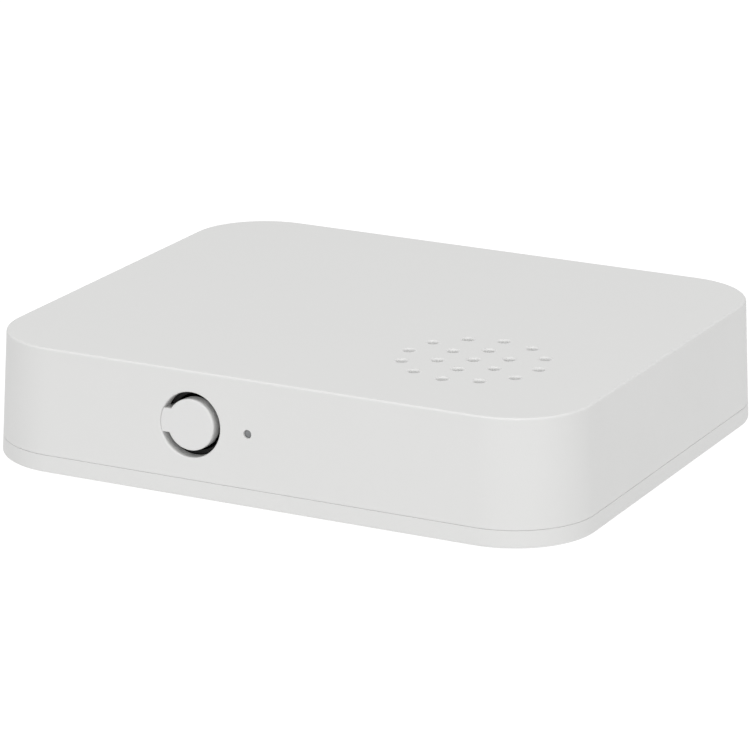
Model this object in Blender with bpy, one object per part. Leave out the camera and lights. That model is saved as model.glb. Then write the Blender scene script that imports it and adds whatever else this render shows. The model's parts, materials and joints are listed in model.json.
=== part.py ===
"""Smart home hub: a low white box with a push button and a status light on its front, a loudspeaker
under its top and its sockets on the back.

Metres, +Z up. The front, with the button, faces -Y. The origin is on the table, under the middle of the box.
Each named object is one piece of the real product; objects with hide_render are cutters and cores.
"""

import math

import bmesh
import bpy
from mathutils import Matrix, Vector

MM = 0.001

# Casing
WIDTH = 140.0 * MM
DEPTH = 119.5 * MM
BODY_HEIGHT = 27.65 * MM
CORNER_RADIUS = 19.2 * MM
DRAFT = math.radians(2.8)
WALL = 2.2 * MM
ROOF = 2.0 * MM
FLOOR = 2.0 * MM
BASE_RIM_HEIGHT = 4.05 * MM
SEAM_GAP = 0.35 * MM
TOP_EDGE_RADIUS = 0.4 * MM
BOTTOM_EDGE_RADIUS = 0.6 * MM
TONGUE_HEIGHT = 2.0 * MM
TONGUE_THICKNESS = 1.4 * MM
SEAT_GAP = 0.3 * MM
PIN_CLEARANCE = 0.1 * MM
# Flat faces that stand for a full circle, from the finest bores to the large rims
TINY_ROUND = 12
SMALL_ROUND = 16
MIDDLE_ROUND = 24
LARGE_ROUND = 32
RIM_ROUND = 48
CORNER_SEGMENTS = 8
EDGE_STEPS = 3

# Feet
FOOT_PROUD = 1.0 * MM
FOOT_RADIUS = 5.0 * MM
FOOT_RECESS = 0.8 * MM
FOOT_FROM_POST = 14.0 * MM
FOOT_EDGE = 0.3 * MM

# Case screws and the posts that they enter
POST_FROM_SIDE = 13.0 * MM
POST_FROM_FRONT = 12.8 * MM
POST_RADIUS = 3.5 * MM
CASE_SCREW_RADIUS = 1.45 * MM
CASE_SCREW_HEAD_RADIUS = 2.8 * MM
CASE_SCREW_HEAD_HEIGHT = 1.8 * MM
CASE_SCREW_LENGTH = 9.0 * MM
SCREW_SEAT_THICKNESS = 1.8 * MM
SCREW_SEAT_RADIUS = 5.0 * MM
COUNTERBORE_DEPTH = 2.2 * MM

# Shape of a screw's head and cross recess, as shares of the head's radius and height
HEAD_TAPER = 0.86
RECESS_REACH = 0.62
RECESS_BLADE = 0.2
RECESS_DEPTH = 0.55

# Wall-hanging keyholes and air slots in the floor
KEYHOLE_SPACING = 50.0 * MM
KEYHOLE_Y = 22.0 * MM
KEYHOLE_HEAD_RADIUS = 4.2 * MM
KEYHOLE_SLOT_WIDTH = 4.2 * MM
KEYHOLE_TRAVEL = 8.0 * MM
VENT_COUNT = 9
VENT_PITCH = 4.6 * MM
VENT_WIDTH = 1.8 * MM
VENT_LENGTH = 16.0 * MM
VENT_Y = -8.0 * MM
VENT_END_ROUNDNESS = 0.99

# Main board
STANDOFF_HEIGHT = 3.0 * MM
STANDOFF_RADIUS = 3.0 * MM
BOARD_THICKNESS = 1.6 * MM
BOARD_CLEARANCE = 1.2 * MM
BOARD_TO_FRONT_WALL = 4.6 * MM
BOARD_TO_REAR_WALL = 3.4 * MM
BOARD_SCREW_INSET = 4.5 * MM
BOARD_SCREW_RADIUS = 1.1 * MM
BOARD_SCREW_HEAD_RADIUS = 2.3 * MM
BOARD_SCREW_HEAD_HEIGHT = 1.5 * MM

# Front push button: a disc with a tab that reaches the rim of its hole
BUTTON_X = -15.6 * MM
BUTTON_HOLE_RADIUS = 7.1 * MM
BUTTON_GAP = 1.5 * MM
BUTTON_DEPTH = 3.0 * MM
BUTTON_EDGE_RADIUS = 0.7 * MM
TAB_WIDTH = 5.2 * MM
TAB_RISE = 0.3 * MM
TAB_END_GAP = 0.25 * MM
COLLAR_DEPTH = 0.8 * MM
COLLAR_WIDTH = 1.2 * MM
ARM_THICKNESS = 1.7 * MM
HINGE_FROM_RIM = 2.8 * MM
KNUCKLE_RADIUS = 1.8 * MM
HINGE_PIN_RADIUS = 0.75 * MM
BRACKET_THICKNESS = 1.6 * MM
BRACKET_MARGIN = 2.6 * MM
BRACKET_HEIGHT = 17.0 * MM
EAR_THICKNESS = 1.5 * MM
PEG_RADIUS = 1.0 * MM
PEG_HEIGHT_OFFSET = 6.4 * MM
BOSS_RADIUS = 1.3 * MM
BOSS_DROP = 4.2 * MM
BOSS_LENGTH = 4.2 * MM

# Switches
TACT_SIZE = 6.2 * MM
TACT_DEPTH = 3.6 * MM
TACT_PLUNGER_RADIUS = 1.75 * MM
TACT_PLUNGER_LENGTH = 2.5 * MM
TACT_BORE_DEPTH = 1.6 * MM
RESET_SIZE = 4.4 * MM
RESET_DEPTH = 3.4 * MM
RESET_PLUNGER_RADIUS = 0.9 * MM
RESET_PLUNGER_LENGTH = 1.4 * MM
RESET_BORE_DEPTH = 1.2 * MM
RESET_PINHOLE_RADIUS = 0.8 * MM
RESET_HEIGHT = 3.2 * MM
SWITCH_BORE_CLEARANCE = 0.2 * MM

# Status light
LIGHT_FROM_BUTTON = 13.7 * MM
LIGHT_HOLE_RADIUS = 0.875 * MM
LIGHT_PIPE_RADIUS = 1.1 * MM
LIGHT_PIPE_REACH = 10.0 * MM
LIGHT_PIPE_BEND = 2.4 * MM
LED_SIZE = (3.4 * MM, 2.8 * MM, 1.3 * MM)

# Loudspeaker and its grille
SPEAKER_FROM_SIDE = 36.5 * MM
SPEAKER_FROM_FRONT = 36.4 * MM
GRILLE_HOLE_RADIUS = 1.25 * MM
GRILLE_RING_STEP = 7.65 * MM
SPEAKER_RADIUS = 18.0 * MM
DUST_SCREEN_THICKNESS = 0.4 * MM
GASKET_THICKNESS = 1.2 * MM
GASKET_WIDTH = 2.2 * MM
FLANGE_THICKNESS = 1.0 * MM
FLANGE_WIDTH = 2.6 * MM
BASKET_DEPTH = 5.8 * MM
BASKET_WINDOWS = 4
BASKET_WALL = 0.7 * MM
MAGNET_RADIUS = 9.5 * MM
MAGNET_HEIGHT = 2.4 * MM
PLATE_HEIGHT = 1.2 * MM
POLE_RADIUS = 4.8 * MM
COIL_RADIAL_CLEARANCE = 0.5 * MM
COIL_THICKNESS = 0.8 * MM
COIL_FOOT_CLEARANCE = 1.1 * MM
CONE_THICKNESS = 0.5 * MM
CONE_TRAVEL = 0.4 * MM
DOME_RISE = 1.6 * MM
SURROUND_WIDTH = 3.0 * MM
SURROUND_RISE = 0.9 * MM
SPEAKER_POST_RADIUS = 1.8 * MM
SPEAKER_SCREW_RADIUS = 0.9 * MM
SPEAKER_SCREW_HEAD_RADIUS = 2.7 * MM
SPEAKER_SCREW_HEAD_HEIGHT = 1.4 * MM
SPEAKER_SCREW_COUNT = 3

# Rear sockets, measured from the board's right edge
PORT_RECESS = 1.0 * MM
PORT_CLEARANCE = 0.35 * MM
DC_FROM_EDGE = 10.0 * MM
DC_SIZE = (9.0 * MM, 14.0 * MM, 11.0 * MM)
DC_BORE_RADIUS = 3.2 * MM
DC_BORE_DEPTH = 10.0 * MM
DC_AXIS_HEIGHT = 6.0 * MM
DC_PIN_RADIUS = 1.0 * MM
ETHERNET_FROM_EDGE = 25.5 * MM
ETHERNET_SIZE = (16.0 * MM, 16.0 * MM, 13.4 * MM)
ETHERNET_SHELL = 0.5 * MM
ETHERNET_CAVITY = (11.9 * MM, 12.0 * MM, 6.9 * MM)
ETHERNET_CAVITY_BOTTOM = 4.4 * MM
ETHERNET_LATCH_WIDTH = 6.2 * MM
ETHERNET_LATCH_DEPTH = 2.6 * MM
USB_FROM_EDGE = 42.5 * MM
USB_SIZE = (13.2 * MM, 14.0 * MM, 6.0 * MM)
USB_SHELL = 0.45 * MM
USB_CAVITY_DEPTH = 11.5 * MM
USB_TONGUE = (11.2 * MM, 8.8 * MM, 1.8 * MM)
USB_TONGUE_RISE = 2.7 * MM
RESET_FROM_EDGE = 53.0 * MM

# Board components: (x, y, z) sizes
PROCESSOR_SIZE = (14.0 * MM, 14.0 * MM, 1.2 * MM)
HEATSINK_SIZE = (18.0 * MM, 18.0 * MM, 6.0 * MM)
HEATSINK_BASE = 1.4 * MM
HEATSINK_FINS = 6
HEATSINK_FIN_WIDTH = 1.2 * MM
MEMORY_SIZE = (8.0 * MM, 12.0 * MM, 1.0 * MM)
TRANSFORMER_SIZE = (12.6 * MM, 8.6 * MM, 5.6 * MM)
RADIO_BOARD_SIZE = (16.0 * MM, 22.0 * MM, 0.8 * MM)
SHIELD_SIZE = (14.0 * MM, 14.0 * MM, 2.2 * MM)
INDUCTOR_SIZE = (9.0 * MM, 9.0 * MM, 4.2 * MM)
CAPACITOR_RADIUS = 4.0 * MM
CAPACITOR_HEIGHT = 9.5 * MM
CONNECTOR_SIZE = (7.0 * MM, 5.0 * MM, 5.4 * MM)
ANTENNA_RADIUS = 2.2 * MM
ANTENNA_WIRE_RADIUS = 0.4 * MM
ANTENNA_TURNS = 5
ANTENNA_TURN_STEPS = 8
ANTENNA_PITCH = 2.2 * MM

# Back-up battery, a single cell of AA size in a holder left of the board
CELL_RADIUS = 7.1 * MM
CELL_LENGTH = 50.0 * MM
CELL_NUB_RADIUS = 2.6 * MM
CELL_NUB_HEIGHT = 1.0 * MM
HOLDER_WALL = 1.4 * MM
HOLDER_HEIGHT = 10.0 * MM
CONTACT_THICKNESS = 0.5 * MM
LEAD_RADIUS = 0.8 * MM

# Heights and faces that follow from the sizes above
BASE_BOTTOM = FOOT_PROUD
SEAM_Z = BASE_BOTTOM + BASE_RIM_HEIGHT
TOP_Z = BASE_BOTTOM + BODY_HEIGHT
FLOOR_TOP = BASE_BOTTOM + FLOOR
CEILING_Z = TOP_Z - ROOF
BOARD_BOTTOM = FLOOR_TOP + STANDOFF_HEIGHT
BOARD_TOP = BOARD_BOTTOM + BOARD_THICKNESS
PART_SEAT_Z = BOARD_TOP + SEAT_GAP
FRONT_LINE_Z = (SEAM_Z + TOP_Z) / 2
POST_X = WIDTH / 2 - POST_FROM_SIDE
POST_Y = DEPTH / 2 - POST_FROM_FRONT
SCREW_SEAT_TOP = BASE_BOTTOM + COUNTERBORE_DEPTH + SCREW_SEAT_THICKNESS
FOOT_X = POST_X - FOOT_FROM_POST
BUTTON_RADIUS = BUTTON_HOLE_RADIUS - BUTTON_GAP
TACT_AXIS_Z = FRONT_LINE_Z - BOSS_DROP
LIGHT_X = BUTTON_X + LIGHT_FROM_BUTTON
SPEAKER_X = WIDTH / 2 - SPEAKER_FROM_SIDE
SPEAKER_Y = -DEPTH / 2 + SPEAKER_FROM_FRONT

CORNERS = [(sx, sy) for sx in (-1, 1) for sy in (-1, 1)]
CORNER_NAMES = {(-1, -1): "front_left", (-1, 1): "rear_left", (1, -1): "front_right", (1, 1): "rear_right"}


def inset_at(z):
    """How far the drafted side has come in at height z, from the outline at the bottom."""
    return math.tan(DRAFT) * (z - BASE_BOTTOM)


def rear_y(z):
    return DEPTH / 2 - inset_at(z)


HOLDER_LEFT = -POST_X + POST_RADIUS + BOARD_CLEARANCE
HOLDER_WIDTH = 2 * (CELL_RADIUS + SEAT_GAP + HOLDER_WALL)
HOLDER_X = HOLDER_LEFT + HOLDER_WIDTH / 2
HOLDER_BOTTOM = FLOOR_TOP + SEAT_GAP
CELL_Z = HOLDER_BOTTOM + HOLDER_WALL + SEAT_GAP + CELL_RADIUS
CELL_SPACE = CELL_LENGTH + CELL_NUB_HEIGHT + 2 * (CONTACT_THICKNESS + 2 * SEAT_GAP)
HOLDER_LENGTH = CELL_SPACE + 2 * HOLDER_WALL

BOARD_LEFT = HOLDER_LEFT + HOLDER_WIDTH + BOARD_CLEARANCE
BOARD_RIGHT = POST_X - POST_RADIUS - BOARD_CLEARANCE
BOARD_FRONT = -rear_y(BOARD_TOP) + WALL + BOARD_TO_FRONT_WALL
BOARD_REAR = rear_y(BOARD_TOP) - WALL - BOARD_TO_REAR_WALL
BOARD_MID_X = (BOARD_LEFT + BOARD_RIGHT) / 2
PORT_FACE_Y = rear_y(BOARD_TOP + ETHERNET_SIZE[2]) - PORT_RECESS

# ---------------------------------------------------------------- materials


def material(name, colour, roughness, metallic=0.0):
    made = bpy.data.materials.new(name)
    made.use_nodes = True
    shader = made.node_tree.nodes["Principled BSDF"]
    shader.inputs["Base Color"].default_value = (*colour, 1.0)
    shader.inputs["Roughness"].default_value = roughness
    shader.inputs["Metallic"].default_value = metallic
    return made


def make_materials():
    return {
        "casing": material("casing_white", (0.80, 0.80, 0.78), 0.5),
        "button": material("button_white", (0.80, 0.80, 0.79), 0.45),
        "black": material("black_plastic", (0.02, 0.02, 0.02), 0.5),
        "rubber": material("grey_rubber", (0.18, 0.18, 0.18), 0.9),
        "steel": material("zinc_steel", (0.62, 0.62, 0.60), 0.35, 1.0),
        "nickel": material("nickel_plate", (0.70, 0.69, 0.66), 0.25, 1.0),
        "board": material("board_green", (0.02, 0.20, 0.08), 0.4),
        "chip": material("chip_black", (0.03, 0.03, 0.03), 0.55),
        "clear": material("clear_plastic", (0.75, 0.77, 0.78), 0.15),
        "led": material("led_package", (0.85, 0.85, 0.75), 0.3),
        "foam": material("black_foam", (0.03, 0.03, 0.03), 0.95),
        "cone": material("paper_cone", (0.05, 0.05, 0.05), 0.8),
        "copper": material("copper_wire", (0.72, 0.32, 0.16), 0.35, 1.0),
        "ferrite": material("ferrite", (0.06, 0.06, 0.065), 0.6),
        "aluminium": material("black_aluminium", (0.05, 0.05, 0.055), 0.4, 0.8),
        "nylon": material("white_nylon", (0.75, 0.73, 0.66), 0.5),
        "wrap": material("cell_wrap", (0.05, 0.16, 0.42), 0.35),
        "lead": material("lead_red", (0.50, 0.03, 0.02), 0.45),
    }


# ---------------------------------------------------------------- shape helpers


def link(obj):
    bpy.context.scene.collection.objects.link(obj)
    return obj


def solid(name, bm, finish=None, parent=None):
    """An object from a finished bmesh, with its faces pointing out."""
    bmesh.ops.recalc_face_normals(bm, faces=bm.faces)
    mesh = bpy.data.meshes.new(name)
    bm.to_mesh(mesh)
    bm.free()
    mesh.shade_smooth()
    mesh.set_sharp_from_angle(angle=math.radians(30))
    obj = link(bpy.data.objects.new(name, mesh))
    if finish:
        mesh.materials.append(MATERIALS[finish])
    obj.parent = parent
    return obj


def tool(name, bm, parent=None):
    """A cutter or core: a shape that is only used by a Boolean."""
    obj = solid(name, bm, parent=parent)
    obj.hide_render = True
    obj.display_type = "WIRE"
    return obj


def boolean(target, other, operation):
    modifier = target.modifiers.new(f"{operation.lower()}_{other.name}", "BOOLEAN")
    modifier.operation = operation
    modifier.object = other
    modifier.solver = "EXACT"


def cut(target, other):
    boolean(target, other, "DIFFERENCE")


def join(target, other):
    boolean(target, other, "UNION")


def rounded_rectangle(half_x, half_y, radius, segments=CORNER_SEGMENTS):
    points = []
    for quarter, (sx, sy) in enumerate([(1, 1), (-1, 1), (-1, -1), (1, -1)]):
        for k in range(segments + 1):
            angle = math.radians(90) * (quarter + k / segments)
            points.append(
                (
                    sx * (half_x - radius) + radius * math.cos(angle),
                    sy * (half_y - radius) + radius * math.sin(angle),
                )
            )
    return points


def case_ring(z, inset):
    """The casing's outline at height z, drawn in by inset from its outer face."""
    total = inset_at(z) + inset
    outline = rounded_rectangle(WIDTH / 2 - total, DEPTH / 2 - total, CORNER_RADIUS - total)
    return [Vector((x, y, z)) for x, y in outline]


def loft(rings):
    """A closed solid through rings that have the same number of points, capped at both ends."""
    bm = bmesh.new()
    rows = [[bm.verts.new(point) for point in ring] for ring in rings]
    for lower, upper in zip(rows, rows[1:]):
        for k in range(len(lower)):
            following = (k + 1) % len(lower)
            bm.faces.new((lower[k], lower[following], upper[following], upper[k]))
    bm.faces.new(rows[0])
    bm.faces.new(rows[-1])
    return bm


def round_points(radius, segments):
    """Points of a circle round the origin."""
    angles = [math.tau * k / segments for k in range(segments)]
    return [(radius * math.cos(a), radius * math.sin(a)) for a in angles]


def arc_points(radius, first, last, steps):
    """Points of an arc round the origin, between two angles in degrees."""
    angles = [math.radians(first + (last - first) * k / steps) for k in range(steps + 1)]
    return [(radius * math.cos(a), radius * math.sin(a)) for a in angles]


def edge_steps(radius):
    """(inward, along) steps round an outer edge of the given radius, from its flat face to its side."""
    return [(radius - x, radius - y) for y, x in arc_points(radius, 0, 90, EDGE_STEPS)]


def add_prism(bm, outline, low, high):
    """Adds an upright prism of a plan outline."""
    bottom = [bm.verts.new((x, y, low)) for x, y in outline]
    face = bm.faces.new(bottom)
    raised = bmesh.ops.extrude_face_region(bm, geom=[face])["geom"]
    verts = [item for item in raised if isinstance(item, bmesh.types.BMVert)]
    bmesh.ops.translate(bm, verts=verts, vec=(0, 0, high - low))
    return bm


def add_box(bm, low, high):
    size = Vector(high) - Vector(low)
    middle = (Vector(high) + Vector(low)) / 2
    bmesh.ops.create_cube(bm, size=1.0, matrix=Matrix.Translation(middle) @ Matrix.Diagonal((*size, 1.0)))
    return bm


def add_block(bm, x, y, bottom, size):
    """Adds a box of the given size, centred on x, y and standing on bottom."""
    return add_box(
        bm, (x - size[0] / 2, y - size[1] / 2, bottom), (x + size[0] / 2, y + size[1] / 2, bottom + size[2])
    )


def add_cylinder(bm, start, end, radius, segments=MIDDLE_ROUND, end_radius=None):
    """Adds a cylinder, or a cone, between two points."""
    start, end = Vector(start), Vector(end)
    along = end - start
    turn = along.to_track_quat("Z", "Y").to_matrix().to_4x4()
    bmesh.ops.create_cone(
        bm,
        cap_ends=True,
        segments=segments,
        radius1=radius,
        radius2=radius if end_radius is None else end_radius,
        depth=along.length,
        matrix=Matrix.Translation((start + end) / 2) @ turn,
    )
    return bm


def turned(profile, centre, segments=MIDDLE_ROUND):
    """A solid turned about the upright axis at centre, from a closed outline of (radius, height)."""
    bm = bmesh.new()
    verts = [bm.verts.new((centre[0] + radius, centre[1], height)) for radius, height in profile]
    for k, (radius, _) in enumerate(profile):
        if radius > 0 or profile[k - 1][0] > 0:
            bm.edges.new((verts[k - 1], verts[k]))
    bmesh.ops.spin(
        bm,
        geom=verts + bm.edges[:],
        cent=(centre[0], centre[1], 0),
        axis=(0, 0, 1),
        angle=math.tau,
        steps=segments,
        use_merge=True,
    )
    bmesh.ops.remove_doubles(bm, verts=bm.verts, dist=1e-7)
    return bm


def turned_ring(name, centre, inner, outer, low, high, finish):
    """A flat ring, or a disc where inner is zero."""
    profile = [(inner, low), (outer, low), (outer, high), (inner, high)]
    return solid(name, turned(profile, centre), finish)


def smooth_path(points, spacing):
    """Points along a Catmull-Rom curve through the given ones, about spacing apart."""
    points = [Vector(p) for p in points]
    padded = [2 * points[0] - points[1], *points, 2 * points[-1] - points[-2]]
    path = [points[0]]
    for a, b, c, d in zip(padded, padded[1:], padded[2:], padded[3:]):
        steps = max(1, round((c - b).length / spacing))
        for k in range(1, steps + 1):
            t = k / steps
            path.append(
                0.5
                * (2 * b + (c - a) * t + (2 * a - 5 * b + 4 * c - d) * t**2 + (3 * b - a - 3 * c + d) * t**3)
            )
    return path


def wire(name, path, radius, finish, resolution=2):
    """A round wire along a path, as a curve with a bevel and filled caps."""
    curve = bpy.data.curves.new(name, "CURVE")
    curve.dimensions = "3D"
    curve.bevel_depth = radius
    curve.bevel_resolution = resolution
    curve.use_fill_caps = True
    spline = curve.splines.new("POLY")
    spline.points.add(len(path) - 1)
    for point, place in zip(spline.points, path):
        point.co = (*place, 1.0)
    curve.materials.append(MATERIALS[finish])
    return link(bpy.data.objects.new(name, curve))


def screw(name, x, y, under_head, direction, length, radius, head_radius, head_height):
    """A cross-head screw. Its shank runs from under the head along direction: +1 up, -1 down."""
    top = under_head - direction * head_height
    head = bmesh.new()
    add_cylinder(head, (x, y, under_head), (x, y, top), head_radius, SMALL_ROUND, HEAD_TAPER * head_radius)
    body = solid(name, head, "steel")
    shank = bmesh.new()
    root = under_head - direction * radius / 2
    add_cylinder(shank, (x, y, root), (x, y, under_head + direction * length), radius, TINY_ROUND)
    join(body, tool(f"{name}_shank", shank))
    low, high = sorted((top - direction * head_height, top + direction * RECESS_DEPTH * head_height))
    reach, blade = RECESS_REACH * head_radius, RECESS_BLADE * head_radius
    for label, half_x, half_y in (("wide", reach, blade), ("long", blade, reach)):
        slot = bmesh.new()
        add_box(slot, (x - half_x, y - half_y, low), (x + half_x, y + half_y, high))
        cut(body, tool(f"{name}_{label}_slot", slot))
    return body


# ---------------------------------------------------------------- casing


def grille_points():
    """The middle of each sound hole: one, a ring of six and a ring of twelve."""
    points = [(SPEAKER_X, SPEAKER_Y)]
    for ring, (count, first) in enumerate([(6, 30.0), (12, 0.0)], start=1):
        for k in range(count):
            angle = math.radians(first + 360.0 * k / count)
            points.append(
                (
                    SPEAKER_X + ring * GRILLE_RING_STEP * math.cos(angle),
                    SPEAKER_Y + ring * GRILLE_RING_STEP * math.sin(angle),
                )
            )
    return points


def speaker_post_points():
    """Posts whose screws catch the loudspeaker's rim, evenly round it."""
    radius = SPEAKER_RADIUS + SPEAKER_POST_RADIUS + PIN_CLEARANCE
    angles = [math.radians(90 + 360.0 * k / SPEAKER_SCREW_COUNT) for k in range(SPEAKER_SCREW_COUNT)]
    return [(SPEAKER_X + radius * math.cos(a), SPEAKER_Y + radius * math.sin(a)) for a in angles]


def make_front_frame():
    """An empty on the front wall's outer face, in the middle of the button's hole, with +Y into the case."""
    empty = link(bpy.data.objects.new("front_wall_frame", None))
    empty.location = (BUTTON_X, -rear_y(FRONT_LINE_Z), FRONT_LINE_Z)
    empty.rotation_euler = (-DRAFT, 0, 0)
    return empty


def port_boxes():
    """(x, bottom, width, height) of each square socket."""
    return {
        "dc": (BOARD_RIGHT - DC_FROM_EDGE, PART_SEAT_Z, DC_SIZE[0], DC_SIZE[2]),
        "ethernet": (BOARD_RIGHT - ETHERNET_FROM_EDGE, PART_SEAT_Z, ETHERNET_SIZE[0], ETHERNET_SIZE[2]),
        "usb": (BOARD_RIGHT - USB_FROM_EDGE, PART_SEAT_Z, USB_SIZE[0], USB_SIZE[2]),
    }


def make_top_cover(front_frame):
    low = SEAM_Z + SEAM_GAP
    rings = [case_ring(CEILING_Z, WALL), case_ring(low, WALL), case_ring(low, 0.0)]
    rings += [case_ring(TOP_Z - down, inward) for inward, down in reversed(edge_steps(TOP_EDGE_RADIUS))]
    cover = solid("top_cover", loft(rings), "casing")

    posts = bmesh.new()
    for sx, sy in CORNERS:
        foot = (sx * POST_X, sy * POST_Y, SCREW_SEAT_TOP + SEAT_GAP)
        add_cylinder(posts, foot, (sx * POST_X, sy * POST_Y, CEILING_Z + ROOF / 2), POST_RADIUS)
    for x, y in speaker_post_points():
        root = (x, y, CEILING_Z + ROOF / 2)
        add_cylinder(posts, (x, y, flange_bottom()), root, SPEAKER_POST_RADIUS, SMALL_ROUND)
    join(cover, tool("cover_posts", posts))

    collar = bmesh.new()
    ring_radius = BUTTON_HOLE_RADIUS + COLLAR_WIDTH
    add_cylinder(collar, (0, WALL / 2, 0), (0, WALL + COLLAR_DEPTH, 0), ring_radius, LARGE_ROUND)
    join(cover, tool("cover_button_collar", collar, front_frame))
    pegs = bmesh.new()
    peg_end = bracket_front() + BRACKET_THICKNESS + PEG_RADIUS
    for x, z in bracket_pegs():
        add_cylinder(pegs, (x, WALL / 2, z), (x, peg_end, z), PEG_RADIUS, TINY_ROUND)
    join(cover, tool("cover_pegs", pegs, front_frame))

    drills = bmesh.new()
    for x, y in grille_points():
        mouth = (x, y, TOP_Z + ROOF / 2)
        add_cylinder(drills, (x, y, CEILING_Z - ROOF / 2), mouth, GRILLE_HOLE_RADIUS, TINY_ROUND)
    for sx, sy in CORNERS:
        pilot = CASE_SCREW_RADIUS + PIN_CLEARANCE
        foot = Vector((sx * POST_X, sy * POST_Y, SCREW_SEAT_TOP - SEAT_GAP))
        depth = Vector((0, 0, CASE_SCREW_LENGTH))
        add_cylinder(drills, foot, foot + depth, pilot, SMALL_ROUND)
    for x, y in speaker_post_points():
        pilot = SPEAKER_SCREW_RADIUS + PIN_CLEARANCE
        mouth = (x, y, flange_bottom() - SEAT_GAP)
        add_cylinder(drills, mouth, (x, y, CEILING_Z - SEAT_GAP), pilot, TINY_ROUND)
    cut(cover, tool("cover_drills", drills))

    front = bmesh.new()
    add_cylinder(front, (0, -WALL, 0), (0, bracket_front(), 0), BUTTON_HOLE_RADIUS, RIM_ROUND)
    light_mouth = (LIGHT_FROM_BUTTON, -WALL, 0)
    add_cylinder(front, light_mouth, (LIGHT_FROM_BUTTON, 2 * WALL, 0), LIGHT_HOLE_RADIUS, SMALL_ROUND)
    cut(cover, tool("cover_front_holes", front, front_frame))

    rear = bmesh.new()
    inside, outside = PORT_FACE_Y - 3 * WALL, DEPTH / 2 + WALL
    for x, bottom, width, height in port_boxes().values():
        half = width / 2 + PORT_CLEARANCE
        top = bottom + height + PORT_CLEARANCE
        add_box(rear, (x - half, inside, bottom - PORT_CLEARANCE), (x + half, outside, top))
    x, z = BOARD_RIGHT - RESET_FROM_EDGE, BOARD_TOP + RESET_HEIGHT
    add_cylinder(rear, (x, inside, z), (x, outside, z), RESET_PINHOLE_RADIUS, SMALL_ROUND)
    cut(cover, tool("cover_rear_holes", rear))
    return cover


def keyhole_points():
    return [(sign * KEYHOLE_SPACING / 2, KEYHOLE_Y) for sign in (-1, 1)]


def standoff_points():
    xs = (BOARD_LEFT + BOARD_SCREW_INSET, BOARD_RIGHT - BOARD_SCREW_INSET)
    ys = (BOARD_FRONT + BOARD_SCREW_INSET + 2 * TACT_DEPTH, BOARD_REAR - BOARD_SCREW_INSET - ETHERNET_SIZE[1])
    return [(x, y) for x in xs for y in ys]


def make_base_plate():
    tongue_outer = WALL + SEAT_GAP
    tongue_inner = tongue_outer + TONGUE_THICKNESS
    tongue_top = SEAM_Z + TONGUE_HEIGHT
    rings = [
        case_ring(FLOOR_TOP, tongue_inner),
        case_ring(tongue_top, tongue_inner),
        case_ring(tongue_top, tongue_outer),
        case_ring(SEAM_Z, tongue_outer),
        case_ring(SEAM_Z, 0.0),
    ]
    for inward, up in reversed(edge_steps(BOTTOM_EDGE_RADIUS)):
        rings.append(case_ring(BASE_BOTTOM + up, inward))
    base = solid("base_plate", loft(rings), "casing")

    raised = bmesh.new()
    for sx, sy in CORNERS:
        middle = (sx * POST_X, sy * POST_Y)
        add_cylinder(raised, (*middle, FLOOR_TOP - FLOOR / 2), (*middle, SCREW_SEAT_TOP), SCREW_SEAT_RADIUS)
    for x, y in standoff_points():
        add_cylinder(raised, (x, y, FLOOR_TOP - FLOOR / 2), (x, y, BOARD_BOTTOM - SEAT_GAP), STANDOFF_RADIUS)
    join(base, tool("base_raised", raised))

    holes = bmesh.new()
    for sx, sy in CORNERS:
        middle = (sx * POST_X, sy * POST_Y)
        under = BASE_BOTTOM - FLOOR
        seat = BASE_BOTTOM + COUNTERBORE_DEPTH
        add_cylinder(holes, (*middle, under), (*middle, seat), CASE_SCREW_HEAD_RADIUS + 2 * SEAT_GAP)
        foot = (sx * FOOT_X, sy * POST_Y)
        add_cylinder(holes, (*foot, under), (*foot, BASE_BOTTOM + FOOT_RECESS), FOOT_RADIUS + SEAT_GAP)
    for x, y in standoff_points():
        pilot = BOARD_SCREW_RADIUS + PIN_CLEARANCE
        add_cylinder(holes, (x, y, FLOOR_TOP), (x, y, BOARD_TOP), pilot, TINY_ROUND)
    cut(base, tool("base_holes", holes))

    shanks = bmesh.new()
    for sx, sy in CORNERS:
        middle = (sx * POST_X, sy * POST_Y)
        end = (*middle, SCREW_SEAT_TOP + FLOOR)
        add_cylinder(shanks, (*middle, BASE_BOTTOM), end, CASE_SCREW_RADIUS + SEAT_GAP, SMALL_ROUND)
    cut(base, tool("base_screw_holes", shanks))

    slots = bmesh.new()
    under, over = BASE_BOTTOM - FLOOR, FLOOR_TOP + SEAT_GAP
    for x, y in keyhole_points():
        add_prism(slots, keyhole_outline(x, y), under, over)
    for k in range(VENT_COUNT):
        x = BOARD_MID_X + (k - (VENT_COUNT - 1) / 2) * VENT_PITCH
        outline = rounded_rectangle(
            VENT_WIDTH / 2, VENT_LENGTH / 2, VENT_END_ROUNDNESS * VENT_WIDTH / 2, EDGE_STEPS
        )
        add_prism(slots, [(x + a, VENT_Y + b) for a, b in outline], under, over)
    cut(base, tool("base_slots", slots))
    return base


def keyhole_outline(x, y):
    """A round head entry with a narrower slot that runs towards the front."""
    half = KEYHOLE_SLOT_WIDTH / 2
    meet = math.degrees(math.asin(half / KEYHOLE_HEAD_RADIUS))
    head = arc_points(KEYHOLE_HEAD_RADIUS, meet - 90, 270 - meet, MIDDLE_ROUND)
    end = [(a, b - KEYHOLE_TRAVEL) for a, b in arc_points(half, 180, 360, MIDDLE_ROUND // 3)]
    return [(x + a, y + b) for a, b in head + end]


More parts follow.
